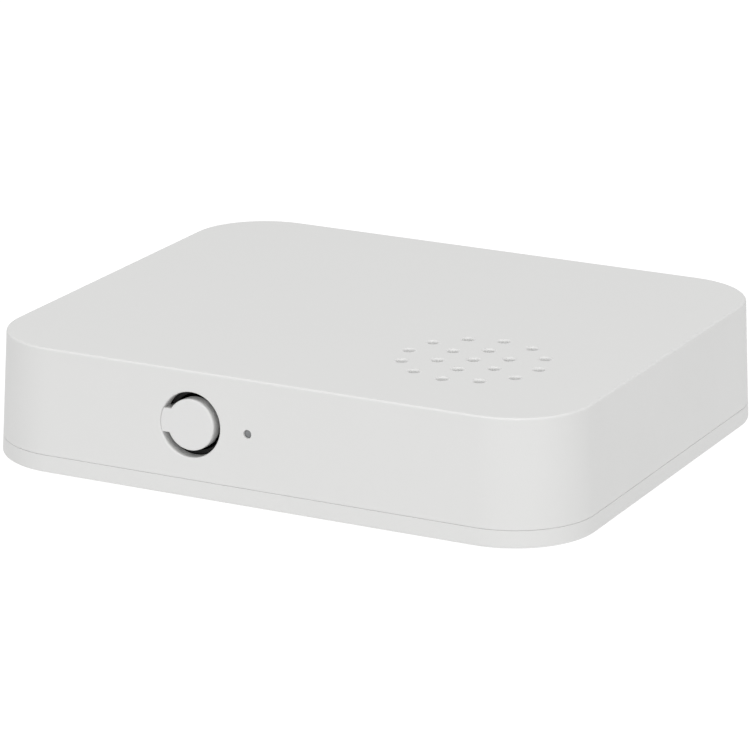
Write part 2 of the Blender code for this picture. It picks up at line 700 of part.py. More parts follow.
def make_feet_and_case_screws():
    for sx, sy in CORNERS:
        place = CORNER_NAMES[sx, sy]
        top = BASE_BOTTOM + FOOT_RECESS - SEAT_GAP
        profile = [(0, 0), (FOOT_RADIUS - FOOT_EDGE, 0), (FOOT_RADIUS, FOOT_EDGE)]
        profile += [(FOOT_RADIUS, top), (0, top)]
        solid(f"foot_{place}", turned(profile, (sx * FOOT_X, sy * POST_Y)), "rubber")
        screw(
            f"case_screw_{place}",
            sx * POST_X,
            sy * POST_Y,
            BASE_BOTTOM + COUNTERBORE_DEPTH - SEAT_GAP,
            1,
            CASE_SCREW_LENGTH,
            CASE_SCREW_RADIUS,
            CASE_SCREW_HEAD_RADIUS,
            CASE_SCREW_HEAD_HEIGHT,
        )


# ---------------------------------------------------------------- front button


def bracket_front():
    """Depth behind the outer face, in the front wall's frame, where the button's bracket starts."""
    return WALL + COLLAR_DEPTH + 2 * SEAT_GAP


def hinge_x():
    return -(BUTTON_HOLE_RADIUS + HINGE_FROM_RIM)


def hinge_y():
    return bracket_front() + KNUCKLE_RADIUS


def bracket_pegs():
    reach = BUTTON_HOLE_RADIUS + BRACKET_MARGIN / 2
    return [(hinge_x(), PEG_HEIGHT_OFFSET), (reach - PEG_RADIUS, -PEG_HEIGHT_OFFSET)]


def make_front_button(front_frame):
    """The button's own origin is on its hinge axis."""
    hinge = Matrix.Translation((-hinge_x(), -hinge_y(), 0))
    rings = [(BUTTON_RADIUS - inward, back) for inward, back in edge_steps(BUTTON_EDGE_RADIUS)]
    rings.append((BUTTON_RADIUS, BUTTON_DEPTH))
    disc = loft([[Vector((x, back, z)) for x, z in round_points(r, RIM_ROUND)] for r, back in rings])
    bmesh.ops.transform(disc, matrix=hinge, verts=disc.verts)
    button = solid("front_button", disc, "button", front_frame)
    button.location = (hinge_x(), hinge_y(), 0)

    half = TAB_WIDTH / 2
    reach = BUTTON_HOLE_RADIUS - TAB_END_GAP
    low, high = TAB_RISE - half, TAB_RISE + half
    below, above = (math.degrees(math.asin(z / reach)) for z in (low, high))
    inner = -BUTTON_RADIUS / 2
    outline = [(inner, low), (inner, high), *arc_points(reach, 180 - above, 180 - below, EDGE_STEPS)]
    tab = add_prism(bmesh.new(), outline, -bracket_front() - ARM_THICKNESS, 0)
    bmesh.ops.transform(tab, matrix=hinge @ Matrix.Rotation(math.radians(90), 4, "X"), verts=tab.verts)
    join(button, tool("front_button_tab", tab, button))

    arm = bmesh.new()
    add_box(arm, (hinge_x(), bracket_front(), -half), (inner, bracket_front() + ARM_THICKNESS, half))
    bmesh.ops.transform(arm, matrix=hinge, verts=arm.verts)
    join(button, tool("front_button_arm", arm, button))
    knuckle = bmesh.new()
    add_cylinder(knuckle, (0, 0, -half), (0, 0, half), KNUCKLE_RADIUS)
    join(button, tool("front_button_knuckle", knuckle, button))
    boss = bmesh.new()
    boss_tip = (0, BUTTON_DEPTH + BOSS_LENGTH, -BOSS_DROP)
    add_cylinder(boss, (0, BUTTON_DEPTH / 2, -BOSS_DROP), boss_tip, BOSS_RADIUS, SMALL_ROUND)
    bmesh.ops.transform(boss, matrix=hinge, verts=boss.verts)
    join(button, tool("front_button_boss", boss, button))
    bore = bmesh.new()
    add_cylinder(bore, (0, 0, -TAB_WIDTH), (0, 0, TAB_WIDTH), HINGE_PIN_RADIUS + PIN_CLEARANCE, SMALL_ROUND)
    cut(button, tool("front_button_bore", bore, button))
    return button


def make_button_bracket(front_frame):
    front, back = bracket_front(), bracket_front() + BRACKET_THICKNESS
    left = hinge_x() - KNUCKLE_RADIUS - BRACKET_MARGIN
    right = BUTTON_HOLE_RADIUS + BRACKET_MARGIN
    plate = bmesh.new()
    add_box(plate, (left, front, -BRACKET_HEIGHT / 2), (right, back, BRACKET_HEIGHT / 2))
    bracket = solid("button_bracket", plate, "black", front_frame)

    ears = bmesh.new()
    ear_low = TAB_WIDTH / 2 + TAB_RISE + SEAT_GAP
    ear_half = KNUCKLE_RADIUS
    for sign in (-1, 1):
        low, high = sorted((sign * ear_low, sign * (ear_low + EAR_THICKNESS)))
        ear = (hinge_x() - ear_half, front + SEAT_GAP, low)
        add_box(ears, ear, (hinge_x() + ear_half, hinge_y() + KNUCKLE_RADIUS, high))
    join(bracket, tool("button_bracket_ears", ears, front_frame))

    window = bmesh.new()
    add_cylinder(window, (0, front - WALL, 0), (0, back + WALL, 0), BUTTON_RADIUS + 2 * SEAT_GAP, RIM_ROUND)
    cut(bracket, tool("button_bracket_window", window, front_frame))
    slot = bmesh.new()
    slot_left = hinge_x() - KNUCKLE_RADIUS - 2 * SEAT_GAP
    add_box(slot, (slot_left, front - WALL, -ear_low), (0, hinge_y() + 2 * KNUCKLE_RADIUS, ear_low))
    cut(bracket, tool("button_bracket_slot", slot, front_frame))
    holes = bmesh.new()
    for x, z in bracket_pegs():
        add_cylinder(holes, (x, front - WALL, z), (x, back + WALL, z), PEG_RADIUS + SEAT_GAP, TINY_ROUND)
    cut(bracket, tool("button_bracket_peg_holes", holes, front_frame))
    bore = bmesh.new()
    axis = Vector((hinge_x(), hinge_y(), 0))
    reach = Vector((0, 0, BRACKET_HEIGHT / 2 + EAR_THICKNESS))
    add_cylinder(bore, axis - reach, axis + reach, HINGE_PIN_RADIUS + PIN_CLEARANCE, SMALL_ROUND)
    cut(bracket, tool("button_bracket_bore", bore, front_frame))

    pin = bmesh.new()
    half = Vector((0, 0, ear_low + EAR_THICKNESS))
    add_cylinder(pin, axis - half, axis + half, HINGE_PIN_RADIUS, SMALL_ROUND)
    solid("button_hinge_pin", pin, "steel", front_frame)


def tact_front_y(front_frame):
    """Where the front switch's plunger starts: just behind the button's boss."""
    tip = Vector((0, BUTTON_DEPTH + BOSS_LENGTH, -BOSS_DROP))
    bpy.context.view_layer.update()
    return (front_frame.matrix_world @ tip).y + SEAT_GAP


def make_switch(name, x, front_y, axis_z, facing, size, depth, plunger_radius, plunger_length, bore_depth):
    """A side-pressed switch on the board. facing is -1 for a press from the front, +1 from the rear."""
    plunger_end = front_y - facing * plunger_length
    back = plunger_end - facing * depth
    low_y, high_y = sorted((plunger_end, back))
    body = bmesh.new()
    add_box(body, (x - size / 2, low_y, PART_SEAT_Z), (x + size / 2, high_y, axis_z + size / 2))
    obj = solid(f"{name}_body", body, "black")
    bore = bmesh.new()
    start = plunger_end + facing * depth
    end = plunger_end - facing * bore_depth
    add_cylinder(bore, (x, start, axis_z), (x, end, axis_z), plunger_radius + SWITCH_BORE_CLEARANCE)
    cut(obj, tool(f"{name}_bore", bore))

    plunger = bmesh.new()
    inner = plunger_end - facing * bore_depth / 2
    add_cylinder(plunger, (0, 0, 0), (0, inner - front_y, 0), plunger_radius)
    moving = solid(f"{name}_plunger", plunger, "nylon")
    moving.location = (x, front_y, axis_z)


def make_status_light():
    front = -rear_y(FRONT_LINE_Z)
    turn_y = front + LIGHT_PIPE_REACH
    led_y = turn_y + LIGHT_PIPE_BEND
    led = bmesh.new()
    add_block(led, LIGHT_X, led_y, PART_SEAT_Z, LED_SIZE)
    solid("status_led", led, "led")

    start = Vector((LIGHT_X, front + WALL + 2 * SEAT_GAP, FRONT_LINE_Z))
    path = [start]
    for along, up in reversed(arc_points(LIGHT_PIPE_BEND, 0, 90, 2 * EDGE_STEPS)):
        path.append(Vector((LIGHT_X, turn_y + along, FRONT_LINE_Z - LIGHT_PIPE_BEND + up)))
    path.append(Vector((LIGHT_X, led_y, PART_SEAT_Z + LED_SIZE[2] + SEAT_GAP)))
    wire("light_pipe", path, LIGHT_PIPE_RADIUS, "clear", resolution=3)


# ---------------------------------------------------------------- loudspeaker


def flange_top():
    return CEILING_Z - 3 * SEAT_GAP - DUST_SCREEN_THICKNESS - GASKET_THICKNESS


def flange_bottom():
    return flange_top() - FLANGE_THICKNESS


def make_speaker():
    centre = (SPEAKER_X, SPEAKER_Y)

    screen_top = CEILING_Z - SEAT_GAP
    screen_low = screen_top - DUST_SCREEN_THICKNESS
    screen_radius = SPEAKER_RADIUS - SEAT_GAP
    turned_ring("speaker_dust_screen", centre, 0, screen_radius, screen_low, screen_top, "foam")

    ring_top = screen_low - SEAT_GAP
    ring_low = ring_top - GASKET_THICKNESS
    ring_inner = screen_radius - GASKET_WIDTH
    turned_ring("speaker_gasket", centre, ring_inner, screen_radius, ring_low, ring_top, "foam")

    top, low = flange_top(), flange_bottom()
    rim = SPEAKER_RADIUS - FLANGE_WIDTH
    seat_top = top - BASKET_DEPTH
    seat_low = seat_top - BASKET_WALL
    seat_outer = MAGNET_RADIUS + BASKET_WALL
    seat_inner = MAGNET_RADIUS - 2 * BASKET_WALL
    upright_low = low - CONE_THICKNESS - CONE_TRAVEL - SEAT_GAP
    profile = [
        (rim, top),
        (SPEAKER_RADIUS, top),
        (SPEAKER_RADIUS, low),
        (rim + BASKET_WALL, low),
        (rim + BASKET_WALL, upright_low),
        (seat_outer + BASKET_WALL, seat_low),
        (seat_inner, seat_low),
        (seat_inner, seat_top),
        (seat_outer, seat_top),
        (rim, upright_low),
    ]
    basket = solid("speaker_basket", turned(profile, centre), "steel")
    windows = bmesh.new()
    window_low, window_high = seat_top + BASKET_WALL, upright_low - BASKET_WALL
    for k in range(BASKET_WINDOWS):
        angle = math.tau * (k + 0.5) / BASKET_WINDOWS
        middle = Vector((*centre, 0)) + Vector((math.cos(angle), math.sin(angle), 0)) * (seat_outer + rim) / 2
        middle.z = (window_low + window_high) / 2
        size = (rim - seat_outer + 4 * BASKET_WALL, MAGNET_RADIUS, window_high - window_low)
        turn = Matrix.Rotation(angle, 4, "Z")
        bmesh.ops.create_cube(
            windows, size=1.0, matrix=Matrix.Translation(middle) @ turn @ Matrix.Diagonal((*size, 1.0))
        )
    cut(basket, tool("speaker_basket_windows", windows))

    outer = rim - SEAT_GAP - CONE_TRAVEL
    inner = outer - SURROUND_WIDTH
    middle = (outer + inner) / 2
    over = [(middle + x * SURROUND_WIDTH / 2, low + y * SURROUND_RISE) for x, y in arc_points(1, 0, 180, 4)]
    under = [(r, z - CONE_THICKNESS) for r, z in reversed(over)]
    solid("speaker_surround", turned(over + under, centre), "rubber")

    cone_rim = inner - SEAT_GAP
    cone_top = low
    plate_top = seat_low - SEAT_GAP
    plate_low = plate_top - PLATE_HEIGHT
    magnet_top = plate_low - SEAT_GAP
    magnet_low = magnet_top - MAGNET_HEIGHT
    yoke_top = magnet_low - SEAT_GAP
    yoke_low = yoke_top - PLATE_HEIGHT
    coil_inner = POLE_RADIUS + COIL_RADIAL_CLEARANCE
    coil_outer = coil_inner + COIL_THICKNESS
    gap_outer = coil_outer + COIL_RADIAL_CLEARANCE
    neck_z = seat_top + BASKET_WALL + 2 * SEAT_GAP
    neck_top = neck_z + CONE_THICKNESS
    dome = [(coil_inner * x, neck_top + DOME_RISE * y) for x, y in arc_points(1, 60, 0, 2)]
    profile = [(0, neck_top + DOME_RISE), *dome, (cone_rim, cone_top), (cone_rim, cone_top - CONE_THICKNESS)]
    profile += [(coil_outer, neck_z), (0, neck_z)]
    solid("speaker_cone", turned(profile, centre), "cone")

    coil_top = neck_z - SEAT_GAP
    coil_low = yoke_top + COIL_FOOT_CLEARANCE
    turned_ring("voice_coil", centre, coil_inner, coil_outer, coil_low, coil_top, "copper")

    plate_outer = MAGNET_RADIUS - 2 * SEAT_GAP
    turned_ring("speaker_front_plate", centre, gap_outer, plate_outer, plate_low, plate_top, "steel")
    ring_inner = gap_outer + SEAT_GAP
    turned_ring("speaker_magnet", centre, ring_inner, MAGNET_RADIUS, magnet_low, magnet_top, "ferrite")
    profile = [
        (0, yoke_low),
        (MAGNET_RADIUS, yoke_low),
        (MAGNET_RADIUS, yoke_top),
        (POLE_RADIUS, yoke_top),
        (POLE_RADIUS, plate_top),
        (0, plate_top),
    ]
    solid("speaker_yoke", turned(profile, centre), "steel")

    for k, (x, y) in enumerate(speaker_post_points(), start=1):
        screw(
            f"speaker_screw_{k}",
            x,
            y,
            flange_bottom() - SEAT_GAP,
            1,
            flange_top() - flange_bottom() + GASKET_THICKNESS,
            SPEAKER_SCREW_RADIUS,
            SPEAKER_SCREW_HEAD_RADIUS,
            SPEAKER_SCREW_HEAD_HEIGHT,
        )
    return (SPEAKER_X - SPEAKER_RADIUS, SPEAKER_Y, seat_top)


# ---------------------------------------------------------------- board and sockets


def make_main_board():
    outline = rounded_rectangle((BOARD_RIGHT - BOARD_LEFT) / 2, (BOARD_REAR - BOARD_FRONT) / 2, 2 * MM, 3)
    mid_y = (BOARD_REAR + BOARD_FRONT) / 2
    plan = [(BOARD_MID_X + x, mid_y + y) for x, y in outline]
    bm = bmesh.new()
    add_prism(bm, plan, BOARD_BOTTOM, BOARD_TOP)
    board = solid("main_board", bm, "board")
    holes = bmesh.new()
    for x, y in standoff_points():
        mouth = (x, y, BOARD_TOP + FLOOR)
        add_cylinder(holes, (x, y, BOARD_BOTTOM - FLOOR), mouth, BOARD_SCREW_RADIUS + SEAT_GAP, SMALL_ROUND)
    cut(board, tool("main_board_holes", holes))
    for k, (x, y) in enumerate(standoff_points(), start=1):
        screw(
            f"board_screw_{k}",
            x,
            y,
            PART_SEAT_Z,
            -1,
            BOARD_THICKNESS + STANDOFF_HEIGHT,
            BOARD_SCREW_RADIUS,
            BOARD_SCREW_HEAD_RADIUS,
            BOARD_SCREW_HEAD_HEIGHT,
        )


def socket_box(name, x, size, finish):
    bm = bmesh.new()
    add_block(bm, x, PORT_FACE_Y - size[1] / 2, PART_SEAT_Z, size)
    return solid(name, bm, finish)


def make_dc_jack():
    x = BOARD_RIGHT - DC_FROM_EDGE
    axis_z = PART_SEAT_Z + DC_AXIS_HEIGHT
    body = socket_box("dc_jack_body", x, DC_SIZE, "black")
    bore = bmesh.new()
    end = PORT_FACE_Y - DC_BORE_DEPTH
    add_cylinder(bore, (x, PORT_FACE_Y + WALL, axis_z), (x, end, axis_z), DC_BORE_RADIUS)
    cut(body, tool("dc_jack_bore", bore))
    solid("dc_jack_pin", pin_solid(x, axis_z, end), "nickel")


def pin_solid(x, axis_z, end):
    """The socket's middle contact, with a bevelled tip."""
    tip = PORT_FACE_Y - DC_PIN_RADIUS
    steps = [(end + SEAT_GAP, DC_PIN_RADIUS), (tip - DC_PIN_RADIUS, DC_PIN_RADIUS), (tip, DC_PIN_RADIUS / 2)]
    rings = []
    for y, radius in steps:
        rings.append([Vector((x + a, y, axis_z + b)) for a, b in round_points(radius, SMALL_ROUND)])
    return loft(rings)


def make_ethernet_jack():
    """A metal sleeve round a plastic insert that holds the cavity for the plug and its latch."""
    x = BOARD_RIGHT - ETHERNET_FROM_EDGE
    width, depth, height = ETHERNET_SIZE
    shell = socket_box("ethernet_jack_shell", x, ETHERNET_SIZE, "nickel")
    room = bmesh.new()
    half = width / 2 - ETHERNET_SHELL
    back = PORT_FACE_Y - depth + ETHERNET_SHELL
    low, high = PART_SEAT_Z + ETHERNET_SHELL, PART_SEAT_Z + height - ETHERNET_SHELL
    add_box(room, (x - half, back, low), (x + half, PORT_FACE_Y + WALL, high))
    cut(shell, tool("ethernet_jack_room", room))

    insert = bmesh.new()
    gap = SEAT_GAP
    add_box(insert, (x - half + gap, back + gap, low + gap), (x + half - gap, PORT_FACE_Y - gap, high - gap))
    body = solid("ethernet_jack_insert", insert, "black")
    cavity = bmesh.new()
    cavity_low = PART_SEAT_Z + ETHERNET_CAVITY_BOTTOM
    front, inner = PORT_FACE_Y + WALL, PORT_FACE_Y - ETHERNET_CAVITY[1]
    wide = ETHERNET_CAVITY[0] / 2
    add_box(cavity, (x - wide, inner, cavity_low), (x + wide, front, cavity_low + ETHERNET_CAVITY[2]))
    cut(body, tool("ethernet_jack_cavity", cavity))
    latch = bmesh.new()
    narrow = ETHERNET_LATCH_WIDTH / 2
    latch_low = cavity_low - ETHERNET_LATCH_DEPTH
    add_box(latch, (x - narrow, inner, latch_low), (x + narrow, front, cavity_low + ETHERNET_LATCH_DEPTH))
    cut(body, tool("ethernet_jack_latch", latch))


def make_usb_jack():
    x = BOARD_RIGHT - USB_FROM_EDGE
    width, _, height = USB_SIZE
    shell = socket_box("usb_jack_shell", x, USB_SIZE, "nickel")
    room = bmesh.new()
    half = width / 2 - USB_SHELL
    back = PORT_FACE_Y - USB_CAVITY_DEPTH
    low, high = PART_SEAT_Z + USB_SHELL, PART_SEAT_Z + height - USB_SHELL
    add_box(room, (x - half, back, low), (x + half, PORT_FACE_Y + WALL, high))
    cut(shell, tool("usb_jack_room", room))
    tongue = bmesh.new()
    tongue_low = PART_SEAT_Z + USB_TONGUE_RISE
    start = back + SEAT_GAP
    add_box(
        tongue,
        (x - USB_TONGUE[0] / 2, start, tongue_low),
        (x + USB_TONGUE[0] / 2, start + USB_TONGUE[1], tongue_low + USB_TONGUE[2]),
    )
    solid("usb_jack_tongue", tongue, "nylon")


def make_heatsink(x, y, bottom):
    bm = bmesh.new()
    width, length, height = HEATSINK_SIZE
    step = (width - HEATSINK_FIN_WIDTH) / (HEATSINK_FINS - 1)
    outline = [(-width / 2, 0), (width / 2, 0)]
    for k in reversed(range(HEATSINK_FINS)):
        left = -width / 2 + k * step
        right = left + HEATSINK_FIN_WIDTH
        if k < HEATSINK_FINS - 1:
            outline.append((right, HEATSINK_BASE))
        outline += [(right, height), (left, height)]
        if k > 0:
            outline.append((left, HEATSINK_BASE))
    add_prism(bm, outline, -length / 2, length / 2)
    upright = Matrix.Translation((x, y, bottom)) @ Matrix.Rotation(math.radians(90), 4, "X")
    bmesh.ops.transform(bm, matrix=upright, verts=bm.verts)
    solid("heatsink", bm, "aluminium")


def processor_place():
    """The processor and its heatsink stand just behind the loudspeaker."""
    speaker_rear = SPEAKER_Y + SPEAKER_RADIUS + 2 * SPEAKER_POST_RADIUS
    return (BOARD_MID_X, speaker_rear + HEATSINK_SIZE[1] / 2 + BOARD_CLEARANCE)


def speaker_connector_place():
    """The loudspeaker's connector is at the heatsink's front left corner."""
    x, y = processor_place()
    left = x - HEATSINK_SIZE[0] / 2 - BOARD_CLEARANCE - CONNECTOR_SIZE[0] / 2
    return (left, y - HEATSINK_SIZE[1] / 2 + CONNECTOR_SIZE[1] / 2)


def make_board_components():
    """Chips and coils, each placed from the board's edges and clear of the loudspeaker."""
    ethernet_x = BOARD_RIGHT - ETHERNET_FROM_EDGE
    behind_ports = PORT_FACE_Y - ETHERNET_SIZE[1]
    processor = processor_place()
    connector_rear = speaker_connector_place()[1] + CONNECTOR_SIZE[1] / 2
    blocks = {
        "processor_chip": (*processor, PART_SEAT_Z, PROCESSOR_SIZE, "chip"),
        "memory_chip": (
            processor[0] - HEATSINK_SIZE[0] / 2 - BOARD_CLEARANCE - MEMORY_SIZE[0] / 2,
            connector_rear + BOARD_CLEARANCE + MEMORY_SIZE[1] / 2,
            PART_SEAT_Z,
            MEMORY_SIZE,
            "chip",
        ),
        "ethernet_transformer": (
            ethernet_x,
            behind_ports - BOARD_CLEARANCE - TRANSFORMER_SIZE[1] / 2,
            PART_SEAT_Z,
            TRANSFORMER_SIZE,
            "chip",
        ),
        "radio_module": (
            BOARD_LEFT + RADIO_BOARD_SIZE[0] / 2 + BOARD_CLEARANCE,
            BOARD_FRONT + 2 * BOARD_SCREW_INSET + RADIO_BOARD_SIZE[1] / 2 + TACT_SIZE,
            PART_SEAT_Z,
            RADIO_BOARD_SIZE,
            "board",
        ),
        "power_inductor": (
            BOARD_RIGHT - DC_FROM_EDGE + BOARD_CLEARANCE,
            behind_ports - 3 * BOARD_CLEARANCE - 2 * CAPACITOR_RADIUS - INDUCTOR_SIZE[1] / 2,
            PART_SEAT_Z,
            INDUCTOR_SIZE,
            "ferrite",
        ),
    }
    for name, (x, y, bottom, size, finish) in blocks.items():
        bm = bmesh.new()
        add_block(bm, x, y, bottom, size)
        solid(name, bm, finish)
    make_heatsink(*processor, PART_SEAT_Z + PROCESSOR_SIZE[2] + SEAT_GAP)

    radio_x, radio_y = blocks["radio_module"][:2]
    shield = bmesh.new()
    shield_y = radio_y - (RADIO_BOARD_SIZE[1] - SHIELD_SIZE[1]) / 2 + BOARD_CLEARANCE
    add_block(shield, radio_x, shield_y, PART_SEAT_Z + RADIO_BOARD_SIZE[2] + SEAT_GAP, SHIELD_SIZE)
    solid("radio_shield_can", shield, "nickel")

    capacitor = bmesh.new()
    x = BOARD_RIGHT - BOARD_SCREW_INSET - BOARD_SCREW_HEAD_RADIUS - BOARD_CLEARANCE - CAPACITOR_RADIUS
    y = behind_ports - 2 * BOARD_CLEARANCE - CAPACITOR_RADIUS
    add_cylinder(capacitor, (x, y, PART_SEAT_Z), (x, y, PART_SEAT_Z + CAPACITOR_HEIGHT), CAPACITOR_RADIUS)
    solid("filter_capacitor", capacitor, "aluminium")

    start = Vector((BOARD_LEFT + BOARD_SCREW_INSET, behind_ports - BOARD_SCREW_INSET, 0))
    start.z = PART_SEAT_Z + ANTENNA_RADIUS + ANTENNA_WIRE_RADIUS
    coil = round_points(ANTENNA_RADIUS, ANTENNA_TURN_STEPS)
    path = []
    for k in range(ANTENNA_TURNS * ANTENNA_TURN_STEPS + 1):
        up, across = coil[k % ANTENNA_TURN_STEPS]
        path.append(start + Vector((ANTENNA_PITCH * k / ANTENNA_TURN_STEPS, across, -up)))
    wire("helical_antenna", path, ANTENNA_WIRE_RADIUS, "copper", resolution=1)


# ---------------------------------------------------------------- battery and leads


def make_battery():
    half_length = HOLDER_LENGTH / 2
    holder = bmesh.new()
    add_box(
        holder,
        (HOLDER_LEFT, -half_length, HOLDER_BOTTOM),
        (HOLDER_LEFT + HOLDER_WIDTH, half_length, HOLDER_BOTTOM + HOLDER_HEIGHT),
    )
    body = solid("battery_holder", holder, "black")
    room = bmesh.new()
    radius = CELL_RADIUS + SEAT_GAP
    profile = arc_points(radius, 180, 360, MIDDLE_ROUND // 2)
    profile += [(radius, HOLDER_HEIGHT), (-radius, HOLDER_HEIGHT)]
    add_prism(room, profile, -CELL_SPACE / 2, CELL_SPACE / 2)
    place = Matrix.Translation((HOLDER_X, 0, CELL_Z)) @ Matrix.Rotation(math.radians(90), 4, "X")
    bmesh.ops.transform(room, matrix=place, verts=room.verts)
    cut(body, tool("battery_holder_room", room))

    middle = -CELL_NUB_HEIGHT / 2
    rear, front = middle + CELL_LENGTH / 2, middle - CELL_LENGTH / 2
    steps = [(front, CELL_RADIUS), (rear, CELL_RADIUS), (rear, CELL_NUB_RADIUS)]
    steps.append((rear + CELL_NUB_HEIGHT, CELL_NUB_RADIUS))
    rings = []
    for y, radius in steps:
        rings.append([Vector((HOLDER_X + a, y, CELL_Z + b)) for a, b in round_points(radius, LARGE_ROUND)])
    solid("battery_cell", loft(rings), "wrap")

    reach = CELL_SPACE / 2 - SEAT_GAP
    for name, sign in (("battery_contact_front", -1), ("battery_contact_rear", 1)):
        contact = bmesh.new()
        low, high = sorted((sign * reach, sign * (reach - CONTACT_THICKNESS)))
        half = CELL_RADIUS / 2
        add_box(contact, (HOLDER_X - half, low, CELL_Z - half), (HOLDER_X + half, high, CELL_Z + half))
        solid(name, contact, "nickel")


def make_connectors_and_leads(speaker_terminal):
    battery_plug = (BOARD_LEFT + CONNECTOR_SIZE[0] / 2 + BOARD_CLEARANCE, CONNECTOR_SIZE[1])
    speaker_plug = speaker_connector_place()
    for name, (x, y) in (("battery_connector", battery_plug), ("speaker_connector", speaker_plug)):
        bm = bmesh.new()
        add_block(bm, x, y, PART_SEAT_Z, CONNECTOR_SIZE)
        solid(name, bm, "nylon")

    top = PART_SEAT_Z + CONNECTOR_SIZE[2] + SEAT_GAP
    bend = 4 * LEAD_RADIUS
    rim_z = HOLDER_BOTTOM + HOLDER_HEIGHT + SEAT_GAP + LEAD_RADIUS
    edge_x = HOLDER_LEFT + HOLDER_WIDTH - HOLDER_WALL / 2
    end_y = -HOLDER_LENGTH / 2 + HOLDER_WALL
    route = [
        (edge_x, end_y, rim_z),
        (edge_x, end_y + bend, rim_z),
        (edge_x + LEAD_RADIUS, end_y / 3, rim_z + LEAD_RADIUS),
        (battery_plug[0], battery_plug[1] - bend, top + bend),
        (*battery_plug, top + bend),
        (*battery_plug, top),
    ]
    wire("battery_lead", smooth_path(route, 3 * LEAD_RADIUS), LEAD_RADIUS, "lead")

    terminal = Vector(speaker_terminal) + Vector((-SEAT_GAP, 0, 0))
    route = [
        terminal,
        terminal + Vector((-bend, LEAD_RADIUS, 0)),
        ((terminal.x + speaker_plug[0]) / 2, (terminal.y + speaker_plug[1]) / 2, terminal.z),
        (*speaker_plug, top + 2 * bend),
        (*speaker_plug, top + bend),
        (*speaker_plug, top),
    ]
    wire("speaker_lead", smooth_path(route, 3 * LEAD_RADIUS), LEAD_RADIUS, "lead")


# ---------------------------------------------------------------- assembly

for leftover in list(bpy.data.objects):
    bpy.data.objects.remove(leftover)
MATERIALS = make_materials()
FRONT_FRAME = make_front_frame()
make_top_cover(FRONT_FRAME)
make_base_plate()
make_feet_and_case_screws()
make_front_button(FRONT_FRAME)
make_button_bracket(FRONT_FRAME)
make_switch(
    "front_switch",
    BUTTON_X,
    tact_front_y(FRONT_FRAME),
    TACT_AXIS_Z,
    -1,
    TACT_SIZE,
    TACT_DEPTH,
    TACT_PLUNGER_RADIUS,
    TACT_PLUNGER_LENGTH,
    TACT_BORE_DEPTH,
)
make_switch(
    "reset_switch",
    BOARD_RIGHT - RESET_FROM_EDGE,
    rear_y(BOARD_TOP + RESET_HEIGHT) - WALL - SEAT_GAP,
    BOARD_TOP + RESET_HEIGHT,
    1,
    RESET_SIZE,
    RESET_DEPTH,
    RESET_PLUNGER_RADIUS,
    RESET_PLUNGER_LENGTH,
    RESET_BORE_DEPTH,
)
make_status_light()
SPEAKER_TERMINAL = make_speaker()
make_main_board()
make_dc_jack()
make_ethernet_jack()
make_usb_jack()
make_board_components()
make_battery()
make_connectors_and_leads(SPEAKER_TERMINAL)
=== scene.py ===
# %% [markdown]
# # A smart home hub, piece by piece
# The hub is a low white box that stands on a shelf. It has a push button and a small status light on its
# front, a loudspeaker under nineteen holes in its top, and its sockets on the back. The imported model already
# holds every piece at its real size and place. This lesson gives each piece the finer shape and the finish of
# the real one, without moving anything.

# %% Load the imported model
import json
import math
import random

import bmesh
import bpy
from mathutils import Matrix, Vector


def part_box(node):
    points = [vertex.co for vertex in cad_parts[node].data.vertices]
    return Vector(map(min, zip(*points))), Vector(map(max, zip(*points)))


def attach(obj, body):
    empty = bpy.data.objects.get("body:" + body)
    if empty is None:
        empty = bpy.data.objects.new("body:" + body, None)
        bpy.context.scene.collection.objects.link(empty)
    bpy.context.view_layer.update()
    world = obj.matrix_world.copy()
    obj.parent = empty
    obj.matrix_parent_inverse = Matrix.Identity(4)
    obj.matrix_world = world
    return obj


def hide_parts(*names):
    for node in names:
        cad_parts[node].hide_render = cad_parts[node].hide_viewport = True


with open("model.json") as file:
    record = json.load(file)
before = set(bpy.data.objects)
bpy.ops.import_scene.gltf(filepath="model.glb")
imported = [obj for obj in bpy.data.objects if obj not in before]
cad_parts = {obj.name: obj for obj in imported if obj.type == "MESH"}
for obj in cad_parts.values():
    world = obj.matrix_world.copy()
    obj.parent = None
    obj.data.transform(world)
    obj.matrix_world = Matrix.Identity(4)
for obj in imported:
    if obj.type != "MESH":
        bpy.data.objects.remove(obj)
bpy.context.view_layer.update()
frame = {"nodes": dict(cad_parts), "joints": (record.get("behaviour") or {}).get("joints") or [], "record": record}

# %% [markdown]
# ## Sizes
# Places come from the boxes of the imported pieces, so nothing has to be fitted by eye. Only what a box can't
# say, such as a wall's thickness or a corner's radius, is named here. The sides lean in by the draft angle
# that lets a moulding leave its tool, so an outline of the case depends on its height.

# %% Sizes of the case
MM = 0.001
COVER_LOW, COVER_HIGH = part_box("top_cover")
BASE_LOW, BASE_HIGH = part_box("base_plate")
DRAFT = math.radians(2.8)
CORNER_RADIUS = 19.2 * MM
WALL = 2.2 * MM
ROOF = 2.0 * MM
FLOOR = 2.0 * MM
CAD_SEAM_GAP = 0.35 * MM
TOP_EDGE = 0.5 * MM
BOTTOM_EDGE = 0.6 * MM

BOTTOM_Z = BASE_LOW.z
TOP_Z = COVER_HIGH.z
SEAM_Z = COVER_LOW.z - CAD_SEAM_GAP
CEILING_Z = TOP_Z - ROOF
FLOOR_TOP = BOTTOM_Z + FLOOR


def inset_at(z):
    """How far the leaning side has come in at height z."""
    return math.tan(DRAFT) * (z - BOTTOM_Z)


HALF_WIDTH = COVER_HIGH.x + inset_at(COVER_LOW.z)
HALF_DEPTH = COVER_HIGH.y + inset_at(COVER_LOW.z)
print("case, mm:", round(2 * HALF_WIDTH / MM, 1), round(2 * HALF_DEPTH / MM, 1), round(TOP_Z / MM, 2))


def middle_of(node):
    low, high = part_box(node)
    return (low + high) / 2


